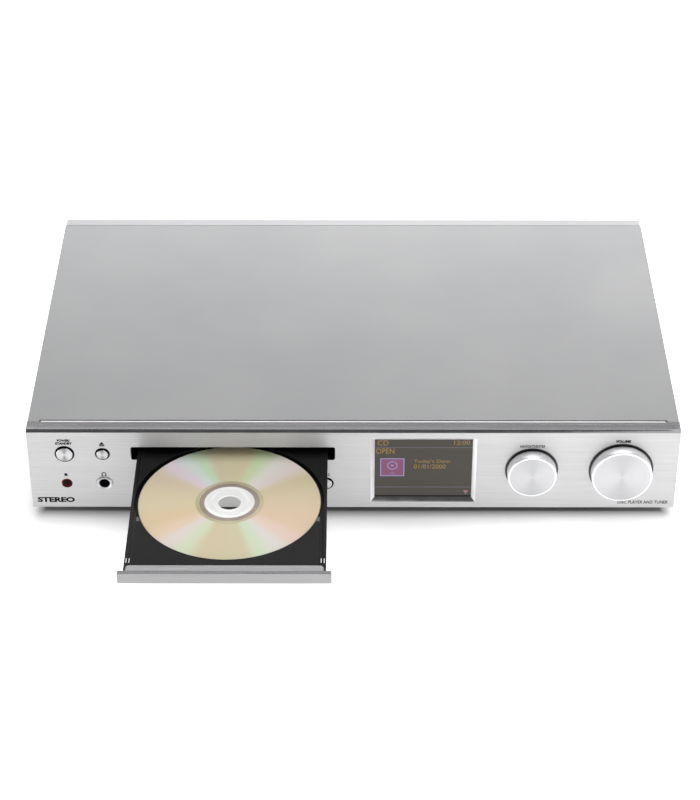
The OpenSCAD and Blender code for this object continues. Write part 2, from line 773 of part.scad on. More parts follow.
// Laser sled on its two rods, with its rack and lens turret
module laser_sled() {
    y = spindle_y + sled_gap + 0.4;
    low = rod_z - 1.9;
    color(dark) union() {
        difference() {
            block([tray_x - 20.4, y, low], [tray_x + 20.4, y + sled_l, rod_z + 1.9]);
            for (x = [-1, 1]) bar(tray_x + x * rod_x, rod_z, 2 * (rod_r + fit), y - 1, sled_l + 2);
        }
        translate([tray_x, y + lens_y, rod_z + 1.8]) difference() {
            translate([-8, -6.8, 0]) cube([16, 14, 2.2]);
            translate([0, 0, 1.2]) cylinder(r = 3.6, h = 2);
        }
        translate([tray_x, y + lens_y, rod_z + 2.9]) cylinder(r = 2.6, h = 1.6);
        translate([tray_x + sled_rack_x, spindle_y + 50, low])
            rack(sled_module, y - spindle_y - 50, y - spindle_y + sled_l - 50 + 4, 3, 1.7);
    }
}

module guide_rods() {
    color(steel) for (x = [-1, 1])
        bar(tray_x + x * rod_x, rod_z, 2 * rod_r - 0.02, spindle_y + sled_gap - 3, deck_back - spindle_y - sled_gap + 1);
}

// Gear on the deck that drives the sled's rack
module sled_gear() {
    color([0.9, 0.9, 0.86]) translate([tray_x + sled_rack_x + sled_gear_r, spindle_y + 50, deck_z + deck_t + 0.3])
        difference() {
            gear(sled_teeth, sled_module, 3, 180);
            translate([0, 0, -1]) cylinder(r = post_r + fit, h = 6);
        }
}

// Gear that drives the drawer's rack, with the large wheel under it
module pinion_gear() {
    color([0.9, 0.9, 0.86]) translate([pinion_x, pinion_y, wheel_z]) difference() {
        union() {
            gear(wheel_teeth, train_module, wheel_h, 0);
            translate([0, 0, wheel_h - 0.01]) cylinder(r = 7, h = tray_bottom - wheel_z - wheel_h - 1.5);
            translate([0, 0, tray_bottom - wheel_z - 1.6])
                gear(pinion_teeth, rack_module, channel_depth + 1.2, 180);
        }
        translate([0, 0, -1]) cylinder(r = post_r + fit, h = 20);
    }
}

module loading_pulley() {
    gap_angle = 180 + 180 / pulley_teeth;
    color([0.9, 0.9, 0.86]) translate([pulley_x, pinion_y, belt_z]) difference() {
        union() {
            rotate_extrude() polygon([
                [0, 0], [pulley_r, 0], [pulley_r - 1.2, pulley_h / 2], [pulley_r, pulley_h], [0, pulley_h]]);
            translate([0, 0, pulley_h - 0.01])
                gear(pulley_teeth, train_module, wheel_z - belt_z - pulley_h + wheel_h, gap_angle);
        }
        translate([0, 0, -1]) cylinder(r = post_r + fit, h = 20);
    }
}

module loading_motor() {
    color(steel) difference() {
        union() {
            post(motor_x, pinion_y, motor_d / 2, inner_z + 2, loader_floor - inner_z - 2.05);
            post(motor_x, pinion_y, 4.8, loader_floor - 0.1, loader_floor_t);
        }
        post(motor_x, pinion_y, 1 + fit, loader_floor - 8, 20);
    }
}

module motor_pulley() {
    color(gold) translate([motor_x, pinion_y, belt_z]) union() {
        rotate_extrude() polygon([
            [0, 0], [motor_pulley_r, 0], [motor_pulley_r - 0.9, pulley_h / 2], [motor_pulley_r, pulley_h],
            [0, pulley_h]]);
        translate([0, 0, -8]) cylinder(r = 1, h = 9);
    }
}

// Closed belt line round two wheels a span apart, which touches both
function belt_points(big, small, span) = let (lean = acos((big - small) / span), steps = 18)
    [for (k = [0:steps]) let (a = lean + (360 - 2 * lean) * k / steps) big * [cos(a), sin(a)],
        for (k = [0:steps]) let (a = lean * (2 * k / steps - 1)) [span, 0] + small * [cos(a), sin(a)]];

// Square belt, a little clear of both pulleys
module loading_belt() {
    belt = 0.9;
    gap = 0.3;
    span = motor_x - pulley_x;
    color(black) translate([pulley_x, pinion_y, belt_z + (pulley_h - belt) / 2]) linear_extrude(belt)
        difference() {
            polygon(belt_points(pulley_r + gap + belt, motor_pulley_r + gap + belt, span));
            polygon(belt_points(pulley_r + gap, motor_pulley_r + gap, span));
        }
}

front_panel();
front_subframe();
top_cover();
base_pan();
rear_panel();
foot(-foot_x, foot_front_y);  // foot_front_left
foot(foot_x, foot_front_y);  // foot_front_right
foot(-foot_x, foot_back_y);  // foot_back_left
foot(foot_x, foot_back_y);  // foot_back_right
foot_pads();
cover_screws();
foot_screws();
inner_screws();
display_window();
display_module();
ir_window();
headphone_socket();
headphone_ring();
button(power_x, bottom + upper_z, power_d);  // power_button
button(eject_x, bottom + upper_z, small_d);  // eject_button
row_button(1);  // stop_button
row_button(6);  // play_button
row_button(2);  // previous_button
row_button(3);  // next_button
row_button(4);  // repeat_button
row_button(5);  // skip_button
knob(navigate_x, navigate_d, fit);  // navigate_knob
collar(navigate_x, navigate_d);  // navigate_collar
encoder(navigate_x);  // navigate_encoder
shaft(navigate_x);  // navigate_shaft
knob(volume_x, volume_d, 0);  // volume_knob
collar(volume_x, volume_d);  // volume_collar
encoder(volume_x);  // volume_encoder
shaft(volume_x);  // volume_shaft
control_board();
tact_switches();
main_board();
network_module();
power_supply();
power_inlet();
antenna_socket();
line_out_sockets();
optical_socket();
loader_frame();
clamp_bridge();
clamp_puck();
disc_tray();
tray_plate();
disc();
drive_deck();
spindle_motor();
turntable();
laser_sled();
guide_rods();
sled_gear();
pinion_gear();
loading_pulley();
loading_motor();
motor_pulley();
loading_belt();
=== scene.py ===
"""Full-width hi-fi disc player and network tuner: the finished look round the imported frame."""

import logging
import math
from dataclasses import dataclass, field
from enum import Enum
from functools import cached_property
from typing import Iterable, Sequence

import bmesh
import bpy
from mathutils import Matrix, Vector


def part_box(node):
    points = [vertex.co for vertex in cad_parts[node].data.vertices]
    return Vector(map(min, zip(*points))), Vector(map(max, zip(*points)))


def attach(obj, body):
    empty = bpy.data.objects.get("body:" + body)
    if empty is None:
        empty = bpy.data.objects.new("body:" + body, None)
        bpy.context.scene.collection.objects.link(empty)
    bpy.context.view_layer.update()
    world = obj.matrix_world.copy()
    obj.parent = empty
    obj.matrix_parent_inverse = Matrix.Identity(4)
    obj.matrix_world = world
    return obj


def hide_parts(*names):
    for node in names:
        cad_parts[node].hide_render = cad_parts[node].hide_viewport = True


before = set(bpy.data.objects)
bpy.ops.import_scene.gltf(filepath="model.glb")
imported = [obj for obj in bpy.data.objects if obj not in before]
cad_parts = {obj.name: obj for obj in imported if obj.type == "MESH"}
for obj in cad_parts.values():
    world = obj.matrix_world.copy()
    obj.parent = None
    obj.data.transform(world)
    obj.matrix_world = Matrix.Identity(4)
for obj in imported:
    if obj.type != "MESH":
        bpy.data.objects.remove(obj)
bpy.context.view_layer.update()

LOG = logging.getLogger("hifi")
MM = 0.001
# The length that one unit of a turned piece's UV map stands for.
CHART_MM = 100.0
CASE = "case"

Colour = tuple[float, float, float, float]
Point = tuple[float, float, float]
Outline = Sequence[tuple[float, float]]
# A box on the display's page: left, top, right and bottom as shares of its width and height.
Share = tuple[float, float, float, float]
Socket = bpy.types.NodeSocket
Material = bpy.types.Material
Shape = bmesh.types.BMesh


# ---------------------------------------------------------------- helpers


def linear(code: str) -> Colour:
    """Turn an sRGB hex colour into a linear one.

    Args:
        code: Six hex digits with a leading #.

    Returns:
        Red, green, blue and alpha in linear light.
    """
    parts = [int(code[i : i + 2], 16) / 255 for i in (1, 3, 5)]
    red, green, blue = (c / 12.92 if c <= 0.04045 else ((c + 0.055) / 1.055) ** 2.4 for c in parts)
    return (red, green, blue, 1.0)


def add_node(
    tree: bpy.types.NodeTree, kind: str, settings: dict | None = None, links: dict | None = None
) -> bpy.types.Node:
    """Add a node, set its values and join its inputs.

    Args:
        tree: The node tree it goes into.
        kind: The node's type name after "ShaderNode".
        settings: Values by socket name or index, or by attribute name.
        links: Output sockets by the input they feed.

    Returns:
        The new node.
    """
    node = tree.nodes.new("ShaderNode" + kind)
    for key, value in (settings or {}).items():
        if isinstance(key, str) and hasattr(node, key):
            setattr(node, key, value)
        else:
            node.inputs[key].default_value = value
    for key, source in (links or {}).items():
        tree.links.new(source, node.inputs[key])
    return node


def centre_of(node: str) -> Vector:
    """Middle of a CAD node's box."""
    low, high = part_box(node)
    return (Vector(low) + Vector(high)) / 2


def as_piece(
    name: str,
    bm: Shape,
    finish: "Finish",
    body: str,
    replaces: str = "",
    extra: Iterable["Finish"] = (),
    sharp: float = 35.0,
) -> bpy.types.Object:
    """Turn a bmesh into a finished piece that rides on a body.

    Args:
        name: The piece's name.
        bm: Its shape, in metres and in place. It is freed here.
        finish: Its first finish.
        body: The CAD body it rides on.
        replaces: The CAD node it stands in for, if any.
        extra: Further finishes, for faces with a higher material index.
        sharp: Edges over this angle, in degrees, stay sharp.

    Returns:
        The new object.
    """
    mesh = bpy.data.meshes.new(name)
    bm.to_mesh(mesh)
    bm.free()
    for item in (finish, *extra):
        mesh.materials.append(item.material)
    mesh.polygons.foreach_set("use_smooth", [True] * len(mesh.polygons))
    mesh.set_sharp_from_angle(angle=math.radians(sharp))
    piece = bpy.data.objects.new(name, mesh)
    bpy.context.scene.collection.objects.link(piece)
    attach(piece, body)
    if replaces:
        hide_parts(replaces)
    LOG.info("%s: %d faces on %s", name, len(mesh.polygons), body)
    return piece


def merged_copy(node: str, whole_faces: bool = True) -> Shape:
    """Copy a CAD node's triangles, joined up.

    Args:
        node: The CAD node's name.
        whole_faces: Join the triangles of each flat face into one.

    Returns:
        The copy as a bmesh.
    """
    bm = bmesh.new()
    bm.from_mesh(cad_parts[node].data)
    bmesh.ops.remove_doubles(bm, verts=bm.verts, dist=0.002 * MM)
    if whole_faces:
        bmesh.ops.dissolve_limit(bm, angle_limit=math.radians(0.5), verts=bm.verts, edges=bm.edges)
    return bm


def soften(piece: bpy.types.Object, width_mm: float, segments: int = 2, angle: float = 40.0) -> None:
    """Break a piece's edges with a small round.

    Args:
        piece: The piece.
        width_mm: The round's width.
        segments: Faces across the round.
        angle: Edges over this angle, in degrees, are broken.
    """
    bevel = piece.modifiers.new("broken_edges", "BEVEL")
    bevel.width = width_mm * MM
    bevel.segments = segments
    bevel.limit_method = "ANGLE"
    bevel.angle_limit = math.radians(angle)
    bevel.harden_normals = True
    bevel.miter_outer = "MITER_ARC"


def lathe(profile: Outline, centre: Vector, axis: str = "Y", steps: int = 96) -> Shape:
    """Spin a profile of (radius, distance along the axis) into a closed turned shape with its own UV map.

    Args:
        profile: Points from the axis outwards and back, in millimetres.
        centre: The point on the axis where the distance is 0, in metres.
        axis: "Y" for a part that faces the front, "Z" for an upright one.
        steps: Faces round the shape.

    Returns:
        The shape, with UV u out from the axis and v round it.
    """
    bm = bmesh.new()
    points = [bm.verts.new((r * MM, 0.0, d * MM)) for r, d in profile]
    edges = [bm.edges.new(pair) for pair in zip(points, points[1:])]
    spin = {"cent": (0, 0, 0), "axis": (0, 0, 1), "angle": 2 * math.pi, "steps": steps, "use_merge": True}
    bmesh.ops.spin(bm, geom=points + edges, **spin)
    bmesh.ops.remove_doubles(bm, verts=bm.verts, dist=0.0005 * MM)
    bmesh.ops.recalc_face_normals(bm, faces=bm.faces)
    layer = bm.loops.layers.uv.new("turned")
    for face in bm.faces:
        middle = face.calc_center_median()
        around = math.atan2(middle.y, middle.x) / (2 * math.pi)
        for loop in face.loops:
            place = loop.vert.co
            radius = math.hypot(place.x, place.y)
            turn = math.atan2(place.y, place.x) / (2 * math.pi) if radius > 1e-7 else around
            turn += round(around - turn)
            loop[layer].uv = ((radius + place.z) / (CHART_MM * MM), turn)
    if axis == "Y":
        bmesh.ops.rotate(bm, verts=bm.verts, matrix=Matrix.Rotation(math.radians(-90), 3, "X"))
    bmesh.ops.translate(bm, verts=bm.verts, vec=centre)
    return bm


def front_of(node: str) -> tuple[Vector, float, float]:
    """Measure a turned node that faces the front.

    Args:
        node: The CAD node's name.

    Returns:
        The middle of its front, in metres, and its radius and depth, in millimetres.
    """
    low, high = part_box(node)
    middle = Vector(((low.x + high.x) / 2, low.y, (low.z + high.z) / 2))
    return middle, (high.x - low.x) / 2 / MM, (high.y - low.y) / MM


def bar(low: Sequence[float], high: Sequence[float]) -> Shape:
    """A block between two corners, in metres.

    Args:
        low: The corner with the lowest coordinates.
        high: The opposite corner.

    Returns:
        The block.
    """
    bm = bmesh.new()
    bmesh.ops.create_cube(bm, size=1.0)
    span = Vector(high) - Vector(low)
    bmesh.ops.scale(bm, verts=bm.verts, vec=span)
    bmesh.ops.translate(bm, verts=bm.verts, vec=(Vector(low) + Vector(high)) / 2)
    return bm


def merge_into(target: Shape, source: Shape) -> None:
    """Add one bmesh to another and free it.

    Args:
        target: The bmesh that grows.
        source: The bmesh that is freed.
    """
    holder = bpy.data.meshes.new("merge")
    source.to_mesh(holder)
    source.free()
    target.from_mesh(holder)
    bpy.data.meshes.remove(holder)


def flat_shape(outline: Outline, thickness_mm: float = 0.03) -> Shape:
    """A thin plate from an outline in the XY plane, in millimetres, facing +Z.

    Args:
        outline: The plate's closed outline.
        thickness_mm: Its thickness.

    Returns:
        The plate, standing on the plane.
    """
    bm = bmesh.new()
    face = bm.faces.new([bm.verts.new((x * MM, y * MM, 0.0)) for x, y in outline])
    if face.normal.z < 0:
        bmesh.ops.reverse_faces(bm, faces=[face])
    grown = bmesh.ops.extrude_face_region(bm, geom=[face])
    raised = [item for item in grown["geom"] if isinstance(item, bmesh.types.BMVert)]
    bmesh.ops.translate(bm, verts=raised, vec=(0, 0, thickness_mm * MM))
    bmesh.ops.recalc_face_normals(bm, faces=bm.faces)
    return bm


def arc_points(radius: float, start: float, end: float, steps: int) -> list[tuple[float, float]]:
    """Points of an arc round the origin, in millimetres, from start to end in degrees."""
    angles = [math.radians(start + (end - start) * k / steps) for k in range(steps + 1)]
    return [(radius * math.cos(a), radius * math.sin(a)) for a in angles]


def ring_sector(inner: float, outer: float, start: float, end: float, steps: int = 24) -> Outline:
    """Outline of a piece of a flat ring, in millimetres."""
    return arc_points(outer, start, end, steps) + arc_points(inner, end, start, steps)


def stand_up(bm: Shape, place: Vector) -> None:
    """Turn a plate from the XY plane to face the front, at a place."""
    bmesh.ops.rotate(bm, verts=bm.verts, matrix=Matrix.Rotation(math.radians(90), 3, "X"))
    bmesh.ops.translate(bm, verts=bm.verts, vec=place)


# ---------------------------------------------------------------- finishes


def new_material(name: str, shader_settings: dict) -> tuple[Material, bpy.types.Node, Socket]:
    """Start a material with one Principled shader.

    Args:
        name: The material's name.
        shader_settings: Constants for the shader's own sockets.

    Returns:
        The material, its shader, and the piece's own coordinates for a pattern.
    """
    material = bpy.data.materials.new(name)
    material.use_nodes = True
    tree = material.node_tree
    tree.nodes.clear()
    shader = add_node(tree, "BsdfPrincipled", shader_settings)
    add_node(tree, "OutputMaterial", links={"Surface": shader.outputs[0]})
    return material, shader, add_node(tree, "TexCoord").outputs["Object"]


def cycles(size_mm: float) -> float:
    """The scale that gives a pattern a real size."""
    return 1 / (size_mm * MM)


def two_tones(source: Socket, span: tuple[float, float], dark: str, light: str) -> Socket:
    """Spread a pattern between two colours.

    Args:
        source: The pattern.
        span: The pattern's values that give the dark and the light colour.
        dark: The dark colour.
        light: The light colour.

    Returns:
        The colour.
    """
    tree = source.id_data
    tone = add_node(tree, "MapRange", {"From Min": span[0], "From Max": span[1]}, {"Value": source})
    ends = {"data_type": "RGBA", 6: linear(dark), 7: linear(light)}
    return add_node(tree, "Mix", ends, {0: tone.outputs[0]}).outputs[2]


def join_surface(
    shader: bpy.types.Node,
    colour: Socket,
    gloss: tuple[Socket, float, float],
    relief: tuple[Socket, float, float],
) -> None:
    """Give a shader its colour, a gloss that varies and a relief.

    Args:
        shader: The shader.
        colour: Its base colour.
        gloss: A pattern, and the roughness at its low and its high end.
        relief: A pattern, the strength of its bump and its depth in millimetres.
    """
    tree = shader.id_data
    low = max(gloss[1], 0.02)
    rough = add_node(tree, "MapRange", {"To Min": low, "To Max": gloss[2]}, {"Value": gloss[0]})
    bump = add_node(tree, "Bump", {"Strength": relief[1], "Distance": relief[2] * MM}, {"Height": relief[0]})
    tree.links.new(colour, shader.inputs["Base Color"])
    tree.links.new(rough.outputs[0], shader.inputs["Roughness"])
    tree.links.new(bump.outputs[0], shader.inputs["Normal"])


@dataclass(frozen=True)
class BrushedAluminium:
    """Anodised aluminium with a straight brushed grain: long bright and dark hairlines and a stretched gloss.

    The grain is finer on the real metal; it is drawn as coarse as it needs to show.
    """

    name: str
    dark: str
    light: str
    roughness: float = 0.57
    metallic: float = 0.72
    stretch: float = 0.8
    grain_mm: float = 0.6
    streak_mm: float = 45.0
    band: float = 0.25
    band_long: float = 3.0
    band_wide: float = 9.0
    bump: float = 0.08

    def build(self) -> Material:
        """Make the material, with its grain along X."""
        material, shader, place = new_material(
            self.name, {"Metallic": self.metallic, "Anisotropic": self.stretch}
        )
        tree = material.node_tree
        along = cycles(self.streak_mm)
        across = cycles(self.grain_mm)
        fine = add_node(tree, "Mapping", {"Scale": (along, across, across)}, {"Vector": place})
        hair = add_node(
            tree, "TexNoise", {"Scale": 1.0, "Detail": 5.0, "Roughness": 0.7}, {"Vector": fine.outputs[0]}
        )
        spread = (along / self.band_long, across / self.band_wide, across / self.band_wide)
        wide = add_node(tree, "Mapping", {"Scale": spread}, {"Vector": place})
        cloud = add_node(tree, "TexNoise", {"Scale": 1.0, "Detail": 2.0}, {"Vector": wide.outputs[0]})
        mixed = {"operation": "MULTIPLY_ADD", 1: self.band}
        both = add_node(tree, "Math", mixed, {0: cloud.outputs[0], 2: hair.outputs[0]})
        span = (0.3 + self.band * 0.4, 0.7 + self.band * 0.6)
        join_surface(
            shader,
            two_tones(both.outputs[0], span, self.dark, self.light),
            (hair.outputs[0], self.roughness - 0.06, self.roughness + 0.08),
            (hair.outputs[0], self.bump, 0.02),
        )
        tangent = add_node(tree, "Tangent", {"direction_type": "UV_MAP", "uv_map": "grain"})
        tree.links.new(tangent.outputs[0], shader.inputs["Tangent"])
        return material


@dataclass(frozen=True)
class TurnedAluminium:
    """Aluminium faced on a lathe: fine rings, and painted highlight and shade in its colour: lighter and
    darker wedges that fan out from the middle.
    """

    name: str
    dark: str
    light: str
    roughness: float = 0.3
    stretch: float = 0.8
    ring_mm: float = 0.4
    painted_fan_depth: float = 0.25
    painted_fan_edge: float = 6.0

    def build(self) -> Material:
        """Make the material; the rings follow the piece's turned UV map."""
        material, shader, _ = new_material(self.name, {"Metallic": 1.0, "Anisotropic": self.stretch})
        tree = material.node_tree
        chart = add_node(tree, "UVMap", {"uv_map": "turned"})
        across = CHART_MM / self.ring_mm
        rings = add_node(tree, "Mapping", {"Scale": (across, 0.0, 1.0)}, {"Vector": chart.outputs[0]})
        groove = add_node(tree, "TexNoise", {"Scale": 1.0, "Detail": 3.0}, {"Vector": rings.outputs[0]})
        turn = add_node(tree, "SeparateXYZ", links={0: chart.outputs[0]})
        # Painted highlight and shade: the colour dims in two opposite wedges round the axis, standing for the
        # gloss the rings stretch.
        lobes = add_node(tree, "Math", {"operation": "MULTIPLY", 1: 2 * math.pi}, {0: turn.outputs[1]})
        wave = add_node(tree, "Math", {"operation": "SINE"}, {0: lobes.outputs[0]})
        painted_fan_wedge = add_node(tree, "Math", {"operation": "POWER", 1: self.painted_fan_edge}, {0: wave.outputs[0]})
        ends = {"To Min": 1.0, "To Max": 1.0 - self.painted_fan_depth}
        shade = add_node(tree, "MapRange", ends, {"Value": painted_fan_wedge.outputs[0]})
        tone = two_tones(groove.outputs[0], (0.3, 0.7), self.dark, self.light)
        painted_fan_colour = add_node(tree, "VectorMath", {"operation": "SCALE"}, {0: tone, "Scale": shade.outputs[0]})
        join_surface(
            shader,
            painted_fan_colour.outputs[0],
            (groove.outputs[0], self.roughness - 0.04, self.roughness + 0.06),
            (groove.outputs[0], 0.06, 0.01),
        )
        tangent = add_node(tree, "Tangent", {"direction_type": "UV_MAP", "uv_map": "turned"})
        tree.links.new(tangent.outputs[0], shader.inputs["Tangent"])
        return material


@dataclass(frozen=True)
class Metal:
    """Plain metal, plated, polished or rolled: an even colour with a faint cloud and fine scratches."""

    name: str
    dark: str
    light: str
    roughness: float = 0.3
    cloud_mm: float = 12.0
    bump: float = 0.03

    def build(self) -> Material:
        """Make the material."""
        material, shader, place = new_material(self.name, {"Metallic": 1.0})
        noise = {"Scale": cycles(self.cloud_mm), "Detail": 6.0, "Roughness": 0.6}
        cloud = add_node(material.node_tree, "TexNoise", noise, {"Vector": place}).outputs[0]
        join_surface(
            shader,
            two_tones(cloud, (0.3, 0.7), self.dark, self.light),
            (cloud, self.roughness - 0.05, self.roughness + 0.06),
            (cloud, self.bump, 0.02),
        )
        return material


@dataclass(frozen=True)
class PowderCoat:
    """Satin powder coat with metal flake: a soft grey with a fine sparkle and a slight orange peel."""

    name: str
    dark: str
    light: str
    roughness: float = 0.42
    metallic: float = 0.35
    flake_mm: float = 0.35
    cloud_mm: float = 111.0
    peel_mm: float = 0.9

    def build(self) -> Material:
        """Make the material."""
        material, shader, place = new_material(self.name, {"Metallic": self.metallic})
        tree = material.node_tree
        sizes = ((self.flake_mm, 2.0), (self.cloud_mm, 3.0), (self.peel_mm, 2.0))
        noises = [
            add_node(tree, "TexNoise", {"Scale": cycles(size), "Detail": detail}, {"Vector": place})
            for size, detail in sizes
        ]
        flake, cloud, peel = (noise.outputs[0] for noise in noises)
        both = add_node(tree, "Math", {"operation": "MULTIPLY_ADD", 1: 0.4}, {0: flake, 2: cloud})
        join_surface(
            shader,
            two_tones(both.outputs[0], (0.4, 1.0), self.dark, self.light),
            (flake, self.roughness - 0.05, self.roughness + 0.05),
            (peel, 0.08, 0.02),
        )
        return material


@dataclass(frozen=True)
class Moulded:
    """Moulded plastic or rubber with a spark-eroded grain: an even colour whose gloss the grain breaks up."""

    name: str
    dark: str
    light: str
    roughness: float = 0.5
    grain_mm: float = 0.35
    cloud_mm: float = 33.0
    bump: float = 0.25
    shine: float = 0.5

    def build(self) -> Material:
        """Make the material."""
        material, shader, place = new_material(self.name, {"Specular IOR Level": self.shine})
        tree = material.node_tree
        grain, cloud = (
            add_node(tree, "TexNoise", {"Scale": cycles(size), "Detail": 3.0}, {"Vector": place}).outputs[0]
            for size in (self.grain_mm, self.cloud_mm)
        )
        join_surface(
            shader,
            two_tones(cloud, (0.3, 0.7), self.dark, self.light),
            (grain, self.roughness - 0.08, self.roughness + 0.08),
            (grain, self.bump, 0.03),
        )
        return material


@dataclass(frozen=True)
class LitScreen:
    """One colour of a backlit screen: it glows by itself, in the screen's fine grid."""

    name: str
    colour: str
    glow: float = 1.0
    grid_mm: float = 0.25

    def build(self) -> Material:
        """Make the material."""
        settings = {"Roughness": 0.35, "Emission Strength": self.glow, "Specular IOR Level": 0.2}
        material, shader, place = new_material(self.name, {**settings, "Base Color": linear("#101010")})
        tree = material.node_tree
        grid = add_node(tree, "TexNoise", {"Scale": cycles(self.grid_mm), "Detail": 1.0}, {"Vector": place})
        tone = add_node(tree, "MapRange", {"To Min": 0.92, "To Max": 1.06}, {"Value": grid.outputs[0]})
        dimmed = {"operation": "SCALE", 0: linear(self.colour)[:3]}
        lit = add_node(tree, "VectorMath", dimmed, {"Scale": tone.outputs[0]})
        tree.links.new(lit.outputs[0], shader.inputs["Emission Color"])
        return material


@dataclass(frozen=True)
class DataFoil:
    """The disc's data layer: a champagne metal film with soft coloured fans painted into its colour, a
    painted reflection of the rainbow light its tracks split.
    """

    name: str
    gold: str = "#E2D3AE"
    painted_rainbow_fans: tuple[tuple[float, str], ...] = (
        (28, "#DCCDA8"), (42, "#EADCD8"), (54, "#E8E6DA"), (68, "#D4E4B6"), (79, "#DCD1AC"),
        (104, "#DAD0AE"), (114, "#D2E6C4"), (124, "#DCEAE2"), (136, "#EADCE4"), (150, "#E0CFB2"),
        (204, "#E6CEA6"), (216, "#EED4B8"), (227, "#EDE0D8"), (240, "#DEE6C6"), (254, "#DCCEAA"),
        (282, "#DAD1AC"), (292, "#DAE6C8"), (306, "#E8E4DA"), (318, "#F0D6C6"), (332, "#E8CEAE"),
    )

    def build(self) -> Material:
        """Make the material; the painted rainbow fans stand at angles round the disc's own middle."""
        settings = {"Metallic": 0.1, "Roughness": 0.36, "Coat Weight": 0.4, "Coat Roughness": 0.06}
        material, shader, place = new_material(self.name, settings)
        tree = material.node_tree
        from_middle = {"operation": "SUBTRACT", 1: centre_of("disc")}
        away = add_node(tree, "VectorMath", from_middle, {0: place})
        turn = add_node(tree, "TexGradient", {"gradient_type": "RADIAL"}, {"Vector": away.outputs[0]})
        ramp = add_node(tree, "ValToRGB", links={0: turn.outputs["Fac"]})
        ramp.color_ramp.interpolation = "EASE"
        stops = ramp.color_ramp.elements
        for end in (stops[0], stops[-1]):
            end.color = linear(self.gold)
        for angle, code in self.painted_rainbow_fans:
            stops.new((angle / 360 + 0.5) % 1.0).color = linear(code)
        tree.links.new(ramp.outputs[0], shader.inputs["Base Color"])
        return material


@dataclass(frozen=True)
class ClearPlastic:
    """Moulded polycarbonate: clear, a little milky where it is thick, with a hard gloss."""

    name: str
    colour: str
    clearness: float = 0.6
    roughness: float = 0.12
    flow_mm: float = 16.7

    def build(self) -> Material:
        """Make the material."""
        settings = {"IOR": 1.58, "Transmission Weight": self.clearness, "Base Color": linear(self.colour)}
        material, shader, place = new_material(self.name, settings)
        tree = material.node_tree
        flow = add_node(tree, "TexNoise", {"Scale": cycles(self.flow_mm), "Detail": 2.0}, {"Vector": place})
        ends = {"To Min": self.roughness * 0.6, "To Max": self.roughness * 1.5}
        gloss = add_node(tree, "MapRange", ends, {"Value": flow.outputs[0]})
        tree.links.new(gloss.outputs[0], shader.inputs["Roughness"])
        return material


@dataclass(frozen=True)
class SolderMask:
    """A circuit board's lacquer: green, with lighter copper tracks just showing under it."""

    name: str
    mask: str
    track: str
    pitch_mm: float = 5.0

    def build(self) -> Material:
        """Make the material."""
        material, shader, place = new_material(self.name, {"Roughness": 0.35})
        tree = material.node_tree
        grid = {"distance": "MANHATTAN", "Scale": cycles(self.pitch_mm)}
        cells = add_node(tree, "TexVoronoi", grid, {"Vector": place})
        colour = two_tones(cells.outputs[0], (0.45, 0.55), self.mask, self.track)
        tree.links.new(colour, shader.inputs["Base Color"])
        return material


